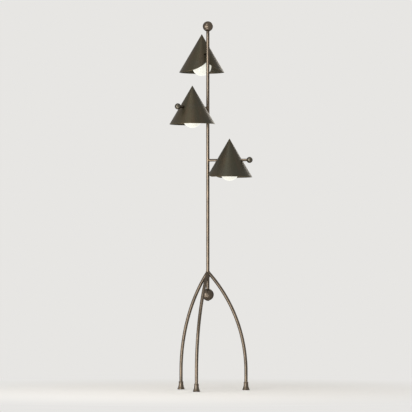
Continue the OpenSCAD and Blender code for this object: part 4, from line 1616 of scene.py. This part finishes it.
def dress_kept_parts() -> None:
    """Gives every part that keeps its own solid its finish; the heads' parts share one by stem."""
    levels = {level.value for level in Level}
    for name, node in frame["nodes"].items():
        stem, _, last = name.rpartition("_")
        finish = KEPT_PARTS.get(stem if last in levels else name)
        if finish is None:
            continue
        for slot in node.material_slots:
            slot.material = finish.material()
        log.info("%s keeps its solid, finish %s", name, finish.name)


# ---- Studio ----

# Linear RGBA.
BACKGROUND = (0.80, 0.79, 0.77, 1.0)
FLOOR = (0.90, 0.89, 0.87, 1.0)
FILL = (1.0, 0.99, 0.97, 1.0)

# Linear RGB of the lights.
WARM = (1.0, 0.97, 0.92)
MILD = (1.0, 0.98, 0.95)
AMBER = (1.0, 0.94, 0.84)


class Effect(Enum):
    """Where a light shows: in matt colour, in gloss."""

    FULL = (True, True)
    GLOSS_ONLY = (False, True)
    MATT_ONLY = (True, False)


@dataclass(frozen=True)
class SoftBox:
    """A soft light. Azimuth 0 is straight from the viewer and grows to the right.

    It is aimed at the height aim on the lamp's axis.
    """

    name: str
    azimuth: float
    distance: float
    height: float
    wide: float
    tall: float
    radiance: float
    tint: Colour
    aim: float = 0.95
    effect: Effect = Effect.FULL

    def hang(self) -> None:
        """Puts the light up, aimed at the lamp; its power is 4 x area x radiance."""
        light = bpy.data.lights.new(self.name, "AREA")
        light.shape = "RECTANGLE"
        light.size, light.size_y = self.wide, self.tall
        light.energy = 4 * self.wide * self.tall * self.radiance
        light.color = self.tint
        holder = bpy.data.objects.new(self.name, light)
        bpy.context.scene.collection.objects.link(holder)
        a = math.radians(self.azimuth)
        spot = Vector((self.distance * math.sin(a), -self.distance * math.cos(a), self.height))
        holder.location = spot
        holder.rotation_euler = (Vector((0, 0, self.aim)) - spot).to_track_quat("-Z", "Y").to_euler()
        holder.visible_camera = False
        holder.visible_diffuse, holder.visible_glossy = self.effect.value


@dataclass(frozen=True)
class Studio:
    """Camera of the reference view, pale floor, pale surroundings and soft lights."""

    camera_place: Point = (-0.009, -14.95, 0.567)
    camera_target: Point = (-0.009, 0.0, 0.898)
    lens_mm: float = 268.0
    sensor_mm: float = 36.0
    sight: float = 200.0
    floor_radius: float = 60.0
    floor_rings: int = 24
    floor_spokes: int = 72
    first_ring: float = 0.2
    floor_roughness: float = 0.7
    floor_gloss: float = 0.2
    fade_start: float = 0.3
    fade_end: float = 1.9
    ambient: float = 0.3

    def camera(self) -> None:
        """A long lens, aimed from place to target, with no shift and no depth of field."""
        data = bpy.data.cameras.new("reference view")
        data.lens = self.lens_mm
        data.sensor_width = self.sensor_mm
        data.clip_end = self.sight
        view = bpy.data.objects.new("reference view", data)
        bpy.context.scene.collection.objects.link(view)
        view.location = self.camera_place
        way = Vector(self.camera_target) - Vector(self.camera_place)
        view.rotation_euler = way.to_track_quat("-Z", "Y").to_euler()
        bpy.context.scene.camera = view

    def seen(self, board: Board) -> Any:
        """1 for camera, glossy and transmission rays, 0 for the rays that carry light."""
        path = board.add("ShaderNodeLightPath")
        rays = [path.outputs[key] for key in ("Is Camera Ray", "Is Glossy Ray", "Is Transmission Ray")]
        return board.math("MAXIMUM", rays[0], board.math("MAXIMUM", rays[1], rays[2]))

    def surroundings(self) -> None:
        """World that looks pale and lights the lamp at a plain level."""
        world = bpy.data.worlds.new("pale studio")
        world.use_nodes = True
        world.node_tree.nodes.clear()
        board = Board(world.node_tree)
        looks = board.add("ShaderNodeBackground", {"Color": BACKGROUND, "Strength": 1.0})
        lights = board.add("ShaderNodeBackground", {"Color": FILL, "Strength": self.ambient})
        both = board.blend(self.seen(board), lights, looks)
        board.add("ShaderNodeOutputWorld", {"Surface": both})
        bpy.context.scene.world = world

    def floor(self) -> None:
        """Level disc of rings and spokes; it melts into the surroundings far from the lamp."""
        radii = np.geomspace(self.first_ring, self.floor_radius, self.floor_rings)
        radii = np.concatenate([[0.0], radii])
        t = np.arange(self.floor_spokes) * TURN / self.floor_spokes
        r = radii[::-1, None]
        points = np.stack([r * np.cos(t), r * np.sin(t), 0 * r + 0 * t], -1)
        uv = np.zeros((len(radii) + 1, len(t) + 1, 2))
        patch = grid_patch(points, uv, np.zeros(points.shape[:2]), False)
        mesh = bpy.data.meshes.new("studio_floor")
        mesh.from_pydata(patch.points.tolist(), [], sum((f.tolist() for f in patch.faces), []))
        floor = bpy.data.objects.new("studio_floor", mesh)
        bpy.context.scene.collection.objects.link(floor)
        material = bpy.data.materials.new("studio floor")
        material.use_nodes = True
        material.node_tree.nodes.clear()
        board = Board(material.node_tree)
        settings = {
            "Base Color": FLOOR, "Roughness": self.floor_roughness, "Specular IOR Level": self.floor_gloss,
        }
        paint = board.add("ShaderNodeBsdfPrincipled", settings)
        far = board.add("ShaderNodeEmission", {"Color": BACKGROUND, "Strength": 1.0})
        where = board.add("ShaderNodeTexCoord").outputs["Object"]
        distance = board.add("ShaderNodeVectorMath", {0: where}, operation="LENGTH").outputs["Value"]
        away = board.ramp(distance, self.fade_start, self.fade_end)
        fade = board.math("MULTIPLY", away, self.seen(board))
        board.add("ShaderNodeOutputMaterial", {"Surface": board.blend(fade, paint, far)})
        mesh.materials.append(material)

    def lights(self) -> None:
        """Key from the front left, two lights above, a rim light behind, and a card on the floor.

        The card is aimed up steeply and shows only in gloss, as a lit floor would. The top light
        shows only in matt colour and evens the floor.
        """
        SoftBox(
            "key light", azimuth=-38.0, distance=4.0, height=1.1, wide=4.8, tall=2.2,
            radiance=5.0, tint=WARM,
        ).hang()
        SoftBox(
            "high light", azimuth=-26.0, distance=2.9, height=4.2, wide=1.8, tall=1.8,
            radiance=3.0, tint=MILD,
        ).hang()
        SoftBox(
            "rim light", azimuth=155.0, distance=4.0, height=2.6, wide=1.7, tall=1.1,
            radiance=3.2, tint=AMBER,
        ).hang()
        SoftBox(
            "floor card", azimuth=-28.0, distance=1.15, height=0.03, wide=1.6, tall=1.1, radiance=3.6,
            tint=MILD, aim=30.0, effect=Effect.GLOSS_ONLY,
        ).hang()
        SoftBox(
            "top light", azimuth=0.0, distance=0.4, height=5.0, wide=4.0, tall=4.0, radiance=0.7,
            tint=MILD, effect=Effect.MATT_ONLY,
        ).hang()

    def build(self) -> None:
        """Builds all of the studio but the camera."""
        self.surroundings()
        self.floor()
        self.lights()


# ---- The lamp ----


def main() -> None:
    """Builds the studio and the lamp in order."""
    logging.basicConfig(level=logging.INFO, format="%(name)s: %(message)s")
    studio = Studio()
    studio.camera()
    bpy.context.scene.view_settings.view_transform = "Standard"
    Pole.from_frame().build()
    for side in Side:
        Leg.from_frame(side).build()
    for level in Level:
        head = Head.from_frame(level)
        Arm.from_frame(level, head).build()
        head.build()
    dress_kept_parts()
    studio.build()


if __name__ == "__main__":
    main()
